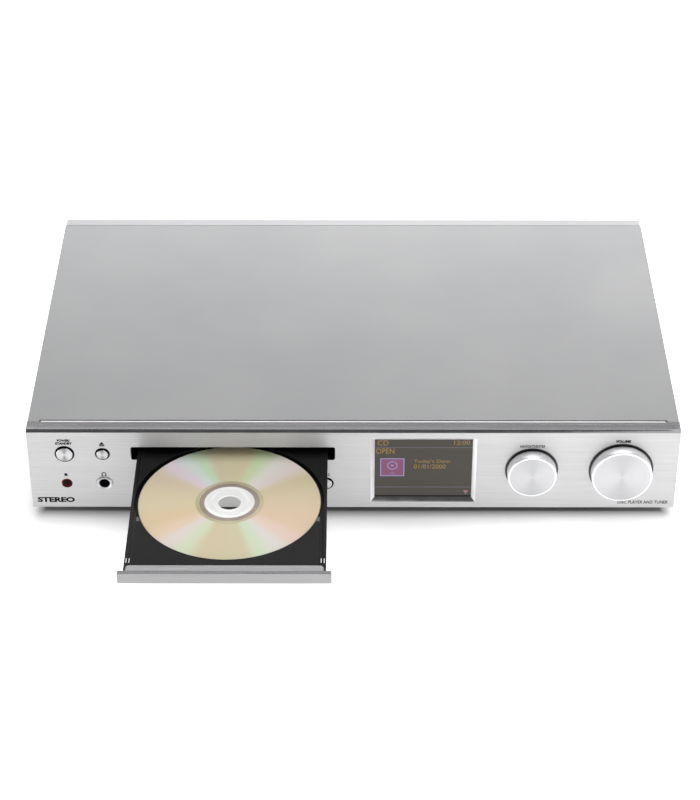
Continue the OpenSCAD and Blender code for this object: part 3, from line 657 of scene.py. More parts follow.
class Finish(Enum):
    """Every finish on the object, each with what it gives the eye."""

    # Pale silver with hairlines from side to side and a soft, wide shine.
    FRONT = BrushedAluminium("brushed_anodised_aluminium", "#C5C5C6", "#D5D5D5")
    # The same metal seen from above, where it mirrors the dark ceiling; its colour is also set darker than
    # the front's, as painted shade.
    TOP_EDGE = BrushedAluminium("brushed_top_edge", "#808082", "#969698", roughness=0.24)
    # A mirror-bright line along the cut edge.
    BEVEL = Metal("diamond_cut_bevel", "#BABABC", "#CACACC", roughness=0.13)
    # Nearly white edges round the openings; the same near white paints a highlight strip along the back of
    # the panel's top lip.
    FRAME = Metal("polished_frame_and_painted_highlight", "#F2F2F3", "#FAFAFA", roughness=0.42)
    # A finer grain than the front's, a shade darker.
    PLATE = BrushedAluminium("brushed_drawer_plate", "#A4A4A5", "#BEBEBF", grain_mm=0.35)
    # The plate's ledge behind its edge, with a closer shine.
    LEDGE = BrushedAluminium("brushed_drawer_ledge", "#A6A6A7", "#BABABB", roughness=0.24)
    # An even satin grey, darker where it looks up into the room.
    COVER = PowderCoat("satin_grey_powder_coat", "#999A9B", "#A5A5A6", roughness=0.36, metallic=0.8)
    # A pale strip along the top of the rear panel.
    REAR = PowderCoat("satin_silver_rear_coat", "#C4C4C6", "#D0D0D2", roughness=0.5)
    # A flat dark grey that white labels stand out on.
    REAR_FACE = PowderCoat("grey_rear_face_coat", "#55565A", "#5F6064", roughness=0.5)
    # Fine rings and a faint hourglass of painted highlight and shade.
    TURNED = TurnedAluminium("turned_aluminium", "#A4A4A6", "#B8B8BA", painted_fan_depth=0.12)
    # A soft bright cylinder under the knob's edge.
    KNOB_SIDE = Metal("satin_turned_side", "#E8E8EA", "#F4F4F5", roughness=0.4)
    # A small disc split into light and dark wedges of painted highlight and shade.
    CAP = TurnedAluminium("faced_button_cap", "#A8A8AA", "#C4C4C6", painted_fan_depth=0.5)
    # A bright thin line round a cap.
    POLISHED = Metal("polished_aluminium", "#C9C9CB", "#E4E4E6", roughness=0.12)
    # A hard mirror with dark and white bands.
    CHROME = Metal("chromed_ring", "#D8D8DA", "#F0F0F0", roughness=0.08)
    # A dull grey sheet.
    ZINC = Metal("zinc_plated_steel", "#9C9EA0", "#B8BABC", roughness=0.38)
    # A warm clean silver.
    BRIGHT = Metal("nickel_plated_steel", "#A6A8A8", "#C6C8C8", roughness=0.25)
    # A soft yellow shine.
    BRASS = Metal("turned_brass", "#A98A45", "#C9A962", roughness=0.28)
    # A deeper, smoother yellow.
    GOLD_PLATE = Metal("gold_flashed_contact", "#B8963F", "#D6B65A", roughness=0.22)
    # Black with a half gloss, broken by its grain.
    BLACK = Moulded("black_moulded_abs", "#0E0E0F", "#17171A", roughness=0.42)
    # Deep black with small sharp highlights.
    GLOSS_BLACK = Moulded("black_gloss_collar", "#070708", "#0D0D0E", roughness=0.16, bump=0.04)
    # A black that stays dark under the lamps.
    TRAY = Moulded("black_moulded_drawer", "#070708", "#0E0E0F", roughness=0.5, shine=0.16)
    # A dark grey slope that tells the two decks apart.
    RAMP = Moulded("grey_drawer_ramp", "#4C4C4E", "#5C5C5E", roughness=0.4, bump=0.05)
    # Dead matt black.
    PAD = Moulded("foot_pad_rubber", "#101010", "#1B1B1B", roughness=0.8, shine=0.25)
    # Waxy off-white gears.
    ACETAL = Moulded("natural_acetal", "#DAD9D2", "#E9E8E2", roughness=0.4, bump=0.08)
    # The yellow wrap round a transformer.
    PARTS = Moulded("taped_transformer", "#8E7A26", "#B79C3A", roughness=0.45)
    # Flat ink, blacker than anything round it.
    INK = Moulded("black_screen_print", "#030303", "#070708", roughness=0.7, bump=0.1, shine=0.15)
    # Flat ink that reads white on grey and black; the same white paints the glints on the drawer's front
    # corners as painted highlights.
    WHITE_INK = Moulded("white_print_and_painted_glint", "#E4E4E2", "#F2F2F0", roughness=0.6, bump=0.1)
    # The left socket's white ring.
    WHITE_PLASTIC = Moulded("white_insulator", "#D8D8D4", "#E8E8E4", roughness=0.4, bump=0.1)
    # The right socket's red ring.
    RED_PLASTIC = Moulded("red_insulator", "#A81C1C", "#C02525", roughness=0.4, bump=0.1)
    # Almost black, with a breath of red.
    FILTER = Moulded("dark_red_infrared_filter", "#120203", "#1E0304", roughness=0.35, bump=0.02, shine=0.06)
    # Clear dark red where the dome is thin.
    FILTER_RIM = Moulded("red_filter_rim", "#600A09", "#7E100E", roughness=0.35, bump=0.02, shine=0.08)
    # A pale ring with a soft shine.
    NUT = Metal("satin_nickel_nut", "#C6C6C8", "#DCDCDE", roughness=0.34)
    # The lit screen's warm dark grey.
    SCREEN = LitScreen("screen_ground", "#4C4740", 0.9)
    # Rules a little lighter than the ground.
    SCREEN_LINE = LitScreen("screen_lilac_line", "#68636E")
    # Dim amber characters.
    AMBER = LitScreen("screen_amber", "#A88644")
    # The icon's tile.
    VIOLET = LitScreen("screen_violet", "#85506F")
    # The icon's line work.
    LILAC = LitScreen("screen_lilac", "#9C92C4")
    # The outer arcs of the wireless mark.
    PINK = LitScreen("screen_pink", "#B87888")
    # The unlit line along the bottom.
    SHADE = LitScreen("screen_edge", "#0B0B0B", 0.4)
    # The gold film with its painted rainbow fans.
    FOIL = DataFoil("gold_data_foil")
    # A near-opaque white middle: painted light that stands for the bright floor seen through the clear hub.
    HUB = ClearPlastic("clear_polycarbonate_hub", "#FFFFFE", 0.04)
    # A clear edge with a warm tint.
    RIM = ClearPlastic("clear_polycarbonate_rim", "#F2EAD6", 0.4)
    # A plain pale ring inside the tracks.
    PALE_FOIL = Metal("pale_mirror_band", "#CFC6A2", "#DCD4B4", roughness=0.3)
    # A darker ring round the hub.
    BROWN_BAND = Metal("grey_brown_band", "#A2948A", "#B0A398", roughness=0.35)
    # Green boards with faint tracks.
    BOARD = SolderMask("green_solder_mask", "#0C3A20", "#1C5A34")

    @property
    def material(self) -> Material:
        """The finish's one material, made when it is first asked for."""
        found = bpy.data.materials.get(self.value.name)
        return found if found else self.value.build()


def dress(nodes: Iterable[str], finish: Finish) -> None:
    """Give CAD nodes that stay in view a finish.

    Args:
        nodes: The nodes' names.
        finish: Their finish.
    """
    for name in nodes:
        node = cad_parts[name]
        if not node.material_slots:
            node.data.materials.append(finish.material)
        for place in node.material_slots:
            place.material = finish.material


# ---------------------------------------------------------------- print and symbols


@dataclass(frozen=True)
class Lettering:
    """One line of print or of lit characters, upright and facing the front."""

    text: str
    width_mm: float
    height_mm: float
    weight: float = 0.0
    thickness_mm: float = 0.03

    def shape(self, middle: Vector, facing: float = 1.0) -> Shape:
        """Make the letters as a mesh.

        Args:
            middle: Centre of the line, on the surface it is printed on.
            facing: 1 to face the front, -1 to face the back.

        Returns:
            The letters, in place.
        """
        data = bpy.data.curves.new("line", "FONT")
        data.body = self.text
        data.offset = self.weight
        data.resolution_u = 3
        data.extrude = 0.5
        carrier = bpy.data.objects.new("line", data)
        mesh = bpy.data.meshes.new_from_object(carrier)
        bm = bmesh.new()
        bm.from_mesh(mesh)
        bpy.data.objects.remove(carrier)
        bpy.data.meshes.remove(mesh)
        bmesh.ops.remove_doubles(bm, verts=bm.verts, dist=1e-5)
        low = Vector(map(min, zip(*(v.co for v in bm.verts))))
        high = Vector(map(max, zip(*(v.co for v in bm.verts))))
        bmesh.ops.translate(bm, verts=bm.verts, vec=-(low + high) / 2)
        span = high - low
        scale = (
            self.width_mm * MM / span.x,
            self.height_mm * MM / span.y,
            self.thickness_mm * MM / span.z,
        )
        bmesh.ops.scale(bm, verts=bm.verts, vec=scale)
        bmesh.ops.rotate(bm, verts=bm.verts, matrix=Matrix.Rotation(math.radians(90), 3, "X"))
        if facing < 0:
            bmesh.ops.rotate(bm, verts=bm.verts, matrix=Matrix.Rotation(math.pi, 3, "Z"))
        bmesh.ops.translate(bm, verts=bm.verts, vec=middle)
        return bm


class Symbol(Enum):
    """Control symbols of the kind every player uses."""

    EJECT = "eject"
    HEADPHONES = "headphones"
    STOP = "stop"
    PREVIOUS = "previous"
    NEXT = "next"
    REPEAT = "repeat"
    SKIP = "skip"
    PLAY = "play"

    def outlines(self, h: float) -> list[Outline]:
        """The symbol's closed outlines, centred on the origin.

        Args:
            h: The symbol's height in millimetres.

        Returns:
            One outline for each separate mark.
        """
        half = h / 2
        w = h * 0.8
        side = half * 0.95

        def block(x: float, z: float, far_x: float, far_z: float) -> Outline:
            """A rectangle from corner to corner."""
            return [(x, z), (far_x, z), (far_x, far_z), (x, far_z)]

        def arrow(x: float, way: int = 1) -> Outline:
            """A full-height triangle that points right, or left if way is -1."""
            return [(x, -half), (x + way * w, 0), (x, half)]

        def post(x: float) -> Outline:
            """A full-height upright."""
            return block(x, -half, x + 0.22 * h, half)

        cups = [block(x, -half * 0.9, x + half * 0.6, -half * 0.25) for x in (-side, half * 0.35)]
        peak = [(-side, -half * 0.3), (side, -half * 0.3), (0, half)]
        tip = [(0, half * 0.3), (half * 0.9, side), (0, half * 1.5)]
        marks = {
            Symbol.EJECT: [peak, block(-side, -half, side, -half / 2)],
            Symbol.HEADPHONES: [ring_sector(half * 0.62, half, -35, 215), *cups],
            Symbol.STOP: [block(-half, -half, half, half)],
            Symbol.PREVIOUS: [post(-w - 0.3 * h), arrow(0, -1), arrow(w, -1)],
            Symbol.NEXT: [arrow(-w), arrow(0), post(w + 0.08 * h)],
            Symbol.REPEAT: [ring_sector(half * 0.7, half, 60, 350), tip],
            Symbol.SKIP: [arrow(-w), arrow(0)],
            Symbol.PLAY: [arrow(-w), post(0.15 * h), post(0.55 * h)],
        }
        return marks[self]

    def shape(self, h: float, middle: Vector) -> Shape:
        """Make the symbol as a thin printed mesh.

        Args:
            h: Its height in millimetres.
            middle: Its centre, on the front panel.

        Returns:
            The symbol, in place.
        """
        whole = bmesh.new()
        for outline in self.outlines(h):
            merge_into(whole, flat_shape(outline))
        stand_up(whole, middle)
        return whole


# ---------------------------------------------------------------- sub-assemblies


def chart_grain(bm: Shape) -> None:
    """Lay a flat UV map whose u runs across the brushed grain.

    Args:
        bm: The shape, in place.
    """
    layer = bm.loops.layers.uv.new("grain")
    for face in bm.faces:
        for loop in face.loops:
            place = loop.vert.co
            loop[layer].uv = (place.z + place.y, place.x)


@dataclass
class CaseShell:
    """The front panel, the folded cover, the rear panel and the feet."""

    edge_mm: float = 0.35
    fold_mm: float = 0.45
    ring_mm: float = 2.2
    well_mm: float = 8.0
    lip_mm: float = 3.0
    strip_mm: float = 1.2
    strip_drop_mm: float = 0.26
    strip_inset_mm: float = 9.3
    hole_mm: float = 1.3

    @cached_property
    def top(self) -> float:
        """The height of the panel's top, in metres."""
        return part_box("front_panel")[1].z

    @cached_property
    def wells(self) -> list[Vector]:
        """The middles of the buttons' wells."""
        return [centre_of(node) for node in Buttons.nodes]

    @cached_property
    def strip(self) -> tuple[float, float, float]:
        """The painted highlight strip's half length without and with its black end patches, and its front
        edge, in metres.
        """
        low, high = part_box("front_panel")
        reach = (high.x - low.x) / 2 - self.strip_inset_mm * MM
        return reach, reach + self.hole_mm * MM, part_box("top_cover")[0].y - self.strip_mm * MM

    def cut_strip(self, bm: Shape) -> None:
        """Cut a slanting strip along the back of the panel's top lip, with a short patch at each end; the
        strip is later finished near white as a painted highlight and the patches black.

        Args:
            bm: The panel.
        """
        top = self.top - MM / 2
        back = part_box("top_cover")[0].y
        reach, far, front = self.strip
        cuts = [((0, front, 0), (0, 1, 0)), *(((x, 0, 0), (1, 0, 0)) for x in (-far, -reach, reach, far))]
        for place, normal in cuts:
            lip = [face for face in bm.faces if face.normal.z > 0.9 and face.calc_center_median().z > top]
            edges = {edge for face in lip for edge in face.edges}
            verts = {vert for face in lip for vert in face.verts}
            bmesh.ops.bisect_plane(bm, geom=[*verts, *edges, *lip], plane_co=place, plane_no=normal)
        for vert in bm.verts:
            place = vert.co
            if abs(place.x) <= reach + 0.01 * MM and place.z > top and abs(place.y - back) < 0.2 * MM:
                vert.co.z -= self.strip_drop_mm * MM

    def panel_finish(self, normal: Vector, middle: Vector) -> Finish:
        """Choose the finish of one face of the front panel.

        Args:
            normal: The way the face looks.
            middle: Its middle.

        Returns:
            The finish.
        """
        reach, far, front = self.strip
        # The strip takes the near-white finish as a painted highlight; its end patches are black.
        if abs(middle.x) <= far and middle.y >= front and middle.z >= self.top - MM / 2:
            return Finish.FRAME if abs(middle.x) < reach else Finish.BLACK
        if normal.z > 0.4 and normal.y < -0.4:
            return Finish.BEVEL
        # Upward faces of the lip take the darker top-edge copy of the metal: painted shade.
        if normal.z > 0.4:
            return Finish.BLACK if middle.z < self.top - self.lip_mm * MM else Finish.TOP_EDGE
        if 0.2 < -normal.y < 0.95:
            return Finish.FRAME
        in_well = any((middle - well).xz.length < self.well_mm * MM for well in self.wells)
        return Finish.BLACK if abs(normal.y) < 0.1 and in_well else Finish.FRONT

    def panel(self) -> None:
        """The extruded front panel, with its edges broken."""
        bm = merged_copy("front_panel")
        self.cut_strip(bm)
        chart_grain(bm)
        extra = [Finish.BEVEL, Finish.TOP_EDGE, Finish.FRAME, Finish.BLACK]
        order = [Finish.FRONT, *extra]
        for face in bm.faces:
            face.material_index = order.index(self.panel_finish(face.normal, face.calc_center_median()))
        piece = as_piece(
            "front_panel_extrusion", bm, Finish.FRONT, CASE, "front_panel", extra
        )
        soften(piece, self.edge_mm)

    def cover(self) -> None:
        """The painted cover, round along its folds."""
        bm = merged_copy("top_cover")
        soften(as_piece("folded_cover", bm, Finish.COVER, CASE, "top_cover"), self.fold_mm, 3)

    def rear(self) -> None:
        """The rear panel: a silver sheet whose outer face is painted grey under its labels."""
        bm = merged_copy("rear_panel", whole_faces=False)
        for face in bm.faces:
            face.material_index = 1 if face.normal.y > 0.5 else 0
        as_piece(
            "rear_panel_sheet", bm, Finish.REAR, CASE, "rear_panel", [Finish.REAR_FACE], sharp=1
        )

    def foot(self, node: str) -> None:
        """One foot: a black moulding with a bright ring pressed round it.

        Args:
            node: The foot's CAD node.
        """
        low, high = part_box(node)
        middle = Vector(((low.x + high.x) / 2, (low.y + high.y) / 2, low.z))
        r = (high.x - low.x) / 2 / MM
        h = (high.z - low.z) / MM
        seat = r - self.ring_mm
        core = [
            (1.8, 3), (5, 3), (5, 0), (r - 3, 0), (seat - 0.05, 0.8), (seat - 0.05, h), (1.8, h), (1.8, 3),
        ]
        band = [
            (seat, 0.3), (r - 0.9, 0.3), (r - 0.25, 0.9), (r, 1.8), (r, h - 1.2), (r - 1, h - 0.2),
            (seat, h - 0.2), (seat, 0.3),
        ]
        for part, profile, finish in (("_moulding", core, Finish.BLACK), ("_ring", band, Finish.CHROME)):
            as_piece(node + part, lathe(profile, middle, "Z"), finish, CASE, node)

    def build(self) -> None:
        """Make every shell part."""
        self.panel()
        self.cover()
        self.rear()
        for name in ("front_left", "front_right", "back_left", "back_right"):
            self.foot("foot_" + name)


@dataclass
class Buttons:
    """Turned push buttons in the front panel, each on its own body."""

    nodes: tuple[str, ...] = (
        "power_button", "eject_button", "stop_button", "previous_button",
        "next_button", "repeat_button", "skip_button", "play_button",
    )
    flange_overhang_mm: float = 1.8
    flange_mm: float = 1.0
    stem_mm: float = 1.8
    chamfer_mm: float = 0.35
    seat_mm: float = 5.1

    def button(self, node: str) -> None:
        """One button: a faced cap with a bright chamfer on a black plunger with its flange and stem.

        Args:
            node: The button's CAD node.
        """
        middle, flange, depth = front_of(node)
        cap = flange - self.flange_overhang_mm
        edge = self.chamfer_mm
        seat = (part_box("front_panel")[0].y - middle.y) / MM + self.seat_mm
        back = seat + self.flange_mm
        bm = lathe(
            [
                (0, 0), (cap * 0.45, 0), (cap - edge, 0), (cap, edge), (cap, seat), (flange, seat),
                (flange, back), (self.stem_mm, back), (self.stem_mm, depth), (0, depth),
            ],
            middle,
        )
        for face in bm.faces:
            behind = (face.calc_center_median().y - middle.y) / MM
            if behind > 0.01:
                face.material_index = 1 if behind < edge else 2
        extra = [Finish.POLISHED, Finish.GLOSS_BLACK]
        as_piece(node + "_cap", bm, Finish.CAP, node, node, extra)

    def build(self) -> None:
        """Make every button."""
        for node in self.nodes:
            self.button(node)


@dataclass
class Knob:
    """A knob turned from bar: faced front, broad polished rim and satin side, on its shaft."""

    node: str
    rim_width_mm: float = 1.15
    rim_drop_mm: float = 0.45
    round_mm: float = 0.5
    wall_mm: float = 2.5
    hub_mm: float = 7.0
    bore_mm: float = 3.02
    web_mm: float = 4.0
    face_mm: float = 2.4
    steps: int = 160

    def build(self) -> None:
        """Make the knob."""
        middle, r, depth = front_of(self.node)
        rim = r - self.rim_width_mm
        drop = self.rim_drop_mm
        wall = r - self.wall_mm
        bm = lathe(
            [
                (0, 0), (r * 0.3, 0), (r * 0.6, 0), (rim - 0.2, 0), (rim, 0.03), (rim + 0.5, 0.12),
                (r - self.round_mm, drop), (r - 0.15, drop + 0.2), (r, drop + self.round_mm),
                (r, depth - 0.2), (r - 0.2, depth), (wall, depth), (wall, self.web_mm),
                (self.hub_mm, self.web_mm), (self.hub_mm, depth), (self.bore_mm, depth),
                (self.bore_mm, self.face_mm), (0, self.face_mm),
            ],
            middle,
            steps=self.steps,
        )
        for face in bm.faces:
            faced = face.normal.y < -0.999 and face.calc_center_median().y < middle.y + 0.01 * MM
            face.material_index = 0 if faced else 1
        extra = [Finish.KNOB_SIDE]
        as_piece(self.node + "_turning", bm, Finish.TURNED, self.node, self.node, extra)


@dataclass
class Sockets:
    """The headphone nut, the remote control window and the sleeves of the line sockets."""

    lens_flange_mm: float = 1.05
    lens_back_mm: float = 1.2
    rim_share: float = 0.74
    line_in_mm: float = 9.0
    sleeve_mm: float = 4.15
    lip_mm: float = 0.04

    def nut(self) -> None:
        """The bright nut round the headphone socket."""
        middle, r, depth = front_of("headphone_ring")
        bm = lathe(
            [
                (3.7, 1.1), (3.72, 0.7), (4.0, 0.5), (4.4, 0.45), (4.7, 0.12), (5.1, 0), (r - 0.4, 0.08),
                (r - 0.1, 0.35), (r, 0.7), (r, depth), (4.55, depth), (4.55, 1.15), (3.7, 1.1),
            ],
            middle,
        )
        as_piece("headphone_nut", bm, Finish.NUT, CASE, "headphone_ring")

    def lens(self) -> None:
        """The domed infrared filter: near black in the middle, redder where it thins at the rim."""
        middle, flange, depth = front_of("ir_window")
        r = flange - self.lens_flange_mm
        rim = r * self.rim_share
        back = depth - self.lens_back_mm
        bm = lathe(
            [
                (0, 0), (r * 0.5, 0.06), (rim, 0.14), (r * 0.9, 0.3), (r, 0.55), (r, back),
                (flange, back), (flange, depth), (0, depth),
            ],
            middle,
        )
        for face in bm.faces:
            face.material_index = 1 if (face.calc_center_median() - middle).xz.length > rim * MM else 0
        as_piece("ir_filter_lens", bm, Finish.FILTER, CASE, "ir_window", [Finish.FILTER_RIM])

    def line_socket(self, side: str, x: float, insulator: Finish) -> None:
        """A gold-flashed sleeve and the coloured insulator in its mouth.

        Args:
            side: The channel, for the piece's name.
            x: The socket's middle, in metres.
            insulator: The insulator's colour.
        """
        low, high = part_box("line_out_sockets")
        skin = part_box("rear_panel")[1].y
        r = self.sleeve_mm
        out = (high.y - skin) / MM
        end = out + self.lip_mm
        middle = Vector((x, skin, (low.z + high.z) / 2))
        sleeve = [
            (r, 1.1), (r + 0.03, 1.1), (r + 0.03, out - 0.2), (r - 0.2, end), (r - 0.7, end), (r - 0.7, out),
            (r, out), (r, 1.1),
        ]
        ring = [(1.75, out), (r - 0.75, out), (r - 0.75, end), (1.85, end), (1.75, out)]
        as_piece("line_sleeve_" + side, lathe(sleeve, middle), Finish.GOLD_PLATE, CASE)
        as_piece("line_insulator_" + side, lathe(ring, middle), insulator, CASE)

    def build(self) -> None:
        """Make the nut, the filter and the sleeves."""
        self.nut()
        self.lens()
        low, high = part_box("line_out_sockets")
        self.line_socket("right", low.x + self.line_in_mm * MM, Finish.RED_PLASTIC)
        self.line_socket("left", high.x - self.line_in_mm * MM, Finish.WHITE_PLASTIC)


@dataclass
class DisplayWindow:
    """The colour display behind its window, lit, with the page it shows while the drawer is open.

    Places on the page are shares of the window: u from the left and v from the top.
    """

    lift_mm: float = 0.02
    edge_mm: float = 0.12
    weight: float = -0.008
    low: Vector = field(default_factory=lambda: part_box("display_window")[0])
    high: Vector = field(default_factory=lambda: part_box("display_window")[1])

    def at(self, u: float, v: float, depth_mm: float = 0.0) -> Vector:
        """A point of the page, or a little in front of it.

        Args:
            u: Share of the width.
            v: Share of the height.
            depth_mm: How far in front of the page.

        Returns:
            The point.
        """
        x = self.low.x + u * (self.high.x - self.low.x)
        z = self.high.z - v * (self.high.z - self.low.z)
        return Vector((x, self.low.y - (self.lift_mm + depth_mm) * MM, z))

    def lit(self, name: str, bm: Shape, finish: Finish) -> None:
        """A lit piece of the page."""
        as_piece(name, bm, finish, CASE)

    def patch(self, name: str, box: Share, finish: Finish, depth_mm: float = 0.02) -> None:
        """A lit rectangle from (u, v) to (u, v)."""
        corners = (self.at(box[0], box[3]), self.at(box[2], box[1], depth_mm))
        self.lit(name, bar(*(Vector(map(pick, *corners)) for pick in (min, max))), finish)

    def line(self, name: str, text: str, box: Share, finish: Finish, depth_mm: float = 0.02) -> None:
        """A line of lit characters that fills (u, v) to (u, v).

        Args:
            name: The piece's name.
            text: The characters.
            box: Its upper left and lower right corner.
            finish: Its colour.
            depth_mm: How far in front of the page.
        """
        across = (box[2] - box[0]) * (self.high.x - self.low.x) / MM
        tall = (box[3] - box[1]) * (self.high.z - self.low.z) / MM
        middle = self.at((box[0] + box[2]) / 2, (box[1] + box[3]) / 2, depth_mm)
        self.lit(name, Lettering(text, across, tall, self.weight).shape(middle), finish)

    def mark(self, name: str, outlines: Iterable[Outline], place: Vector, finish: Finish) -> None:
        """A lit sign of one or more outlines, in millimetres round a place.

        Args:
            name: The piece's name.
            outlines: The sign's closed outlines.
            place: The sign's own origin.
            finish: Its colour.
        """
        whole = bmesh.new()
        for outline in outlines:
            merge_into(whole, flat_shape(outline))
        stand_up(whole, place)
        self.lit(name, whole, finish)

    def icon(self) -> None:
        """The disc icon: a framed violet tile with a ring, a play mark and a word."""
        self.patch("screen_icon_frame", (0.056, 0.325, 0.305, 0.638), Finish.LILAC)
        self.patch("screen_icon_tile", (0.066, 0.339, 0.295, 0.624), Finish.VIOLET, 0.04)
        ring = [ring_sector(2.9, 3.5, start, start + 90, 12) for start in (0, 90, 180, 270)]
        play = [(-0.8, -1.0), (1.2, 0), (-0.8, 1.0)]
        self.mark("screen_icon_disc", [*ring, play], self.at(0.181, 0.45, 0.05), Finish.LILAC)
        self.line("screen_icon_word", "CD", (0.158, 0.572, 0.206, 0.6), Finish.LILAC, 0.08)

    def signal(self) -> None:
        """The wireless mark: three arcs over a dot."""
        place = self.at(0.945, 0.945)
        arcs = [ring_sector(radius, radius + 0.5, 50, 130, 8) for radius in (1.5, 2.3)]
        self.mark("screen_wireless_arcs", arcs, place, Finish.PINK)
        near = [ring_sector(0.8, 1.2, 50, 130, 8), arc_points(0.4, 0, 330, 11)]
        self.mark("screen_wireless_dot", near, place, Finish.LILAC)

    def build(self) -> None:
        """Make the glass and the page."""
        plate = bar(self.low, self.high)
        round_off = {"affect": "EDGES", "segments": 2, "profile": 0.5, "material": -1}
        bmesh.ops.bevel(plate, geom=plate.edges[:], offset=self.edge_mm * MM, **round_off)
        as_piece("display_glass_plate", plate, Finish.SCREEN, CASE, "display_window")
        self.patch("screen_upper_rule", (0.0, 0.13, 1.0, 0.142), Finish.SCREEN_LINE)
        self.patch("screen_lower_rule", (0.0, 0.825, 1.0, 0.837), Finish.SCREEN_LINE)
        self.patch("screen_bottom_edge", (0.0, 0.975, 1.0, 1.0), Finish.SHADE)
        self.line("screen_source", "CD", (0.027, 0.012, 0.139, 0.1), Finish.AMBER)
        self.line("screen_clock", "12:00", (0.81, 0.015, 0.97, 0.085), Finish.AMBER)
        self.line("screen_state", "OPEN", (0.012, 0.152, 0.2, 0.244), Finish.AMBER)
        self.line("screen_text_upper", "Today's Date:", (0.403, 0.346, 0.779, 0.416), Finish.AMBER)
        self.line("screen_text_lower", "01/01/2000", (0.403, 0.433, 0.728, 0.504), Finish.AMBER)
        self.icon()
        self.signal()


@dataclass
class PanelPrint:
    """Screen-printed words and symbols on the front and rear panels."""

    # Name, text, width, height, weight, the node it belongs to, and its place right of and above that node.
    words: tuple[tuple, ...] = (
        ("print_power", "POWER/", 8.8, 2.1, 0.065, "power_button", 0.0, 11.3),
        ("print_standby", "STANDBY", 11.4, 2.1, 0.065, "power_button", 0.0, 8.8),
        ("print_remote", "IR", 2.6, 2.3, 0.08, "ir_window", 0.0, 7.3),
        ("print_select", "NAVIGATE/ENTER", 17.0, 2.2, 0.03, "navigate_knob", 0.0, 19.6),
        ("print_volume", "VOLUME", 10.3, 2.3, 0.065, "volume_knob", 0.0, 23.9),
        ("print_stereo", "STEREO", 25.5, 4.4, 0.05, "front_panel", -203.6, -26.3),
        ("print_kind", "DISC PLAYER AND TUNER", 34.5, 2.7, 0.02, "front_panel", 198.6, -28.0),
    )
    # Node, text, width and place above the node.
    rear_words: tuple[tuple[str, str, float, float], ...] = (
        ("power_inlet", "AC IN", 9.5, 14.0),
        ("antenna_socket", "ANTENNA", 15.0, 11.5),
        ("line_out_sockets", "LINE OUT", 15.5, 12.0),
        ("optical_socket", "OPTICAL OUT", 19.5, 11.5),
    )
    rear_height_mm: float = 2.2
    rear_weight: float = 0.03
    # Node, symbol, place above the node and height.
    symbols: tuple[tuple[str, Symbol, float, float], ...] = (
        ("eject_button", Symbol.EJECT, 8.4, 3.8),
        ("headphone_ring", Symbol.HEADPHONES, 7.7, 3.4),
        ("stop_button", Symbol.STOP, 7.3, 2.4),
        ("previous_button", Symbol.PREVIOUS, 7.3, 2.4),
        ("next_button", Symbol.NEXT, 7.3, 2.4),
        ("repeat_button", Symbol.REPEAT, 7.3, 2.7),
        ("skip_button", Symbol.SKIP, 7.3, 2.4),
        ("play_button", Symbol.PLAY, 7.3, 2.7),
    )

    def place(self, node: str, along_mm: float, up_mm: float, behind: bool = False) -> Vector:
        """A place on the front or the rear panel's face, measured from the middle of a node.

        Args:
            node: The CAD node.
            along_mm: How far to the right of it.
            up_mm: How far above it.
            behind: On the rear panel, not the front one.

        Returns:
            The place.
        """
        middle = centre_of(node)
        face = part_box("rear_panel")[1].y + 0.01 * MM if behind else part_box("front_panel")[0].y - 0.01 * MM
        return Vector((middle.x + along_mm * MM, face, middle.z + up_mm * MM))

    def build(self) -> None:
        """Print everything."""
        for name, text, wide, tall, weight, node, along, up in self.words:
            bm = Lettering(text, wide, tall, weight).shape(self.place(node, along, up))
            as_piece(name, bm, Finish.INK, CASE)
        for node, text, wide, up in self.rear_words:
            letters = Lettering(text, wide, self.rear_height_mm, self.rear_weight)
            bm = letters.shape(self.place(node, 0.0, up, behind=True), -1)
            as_piece("print_" + node, bm, Finish.WHITE_INK, CASE)
        for node, symbol, up, tall in self.symbols:
            bm = symbol.shape(tall, self.place(node, 0.0, up))
            as_piece("print_" + symbol.value, bm, Finish.INK, CASE)


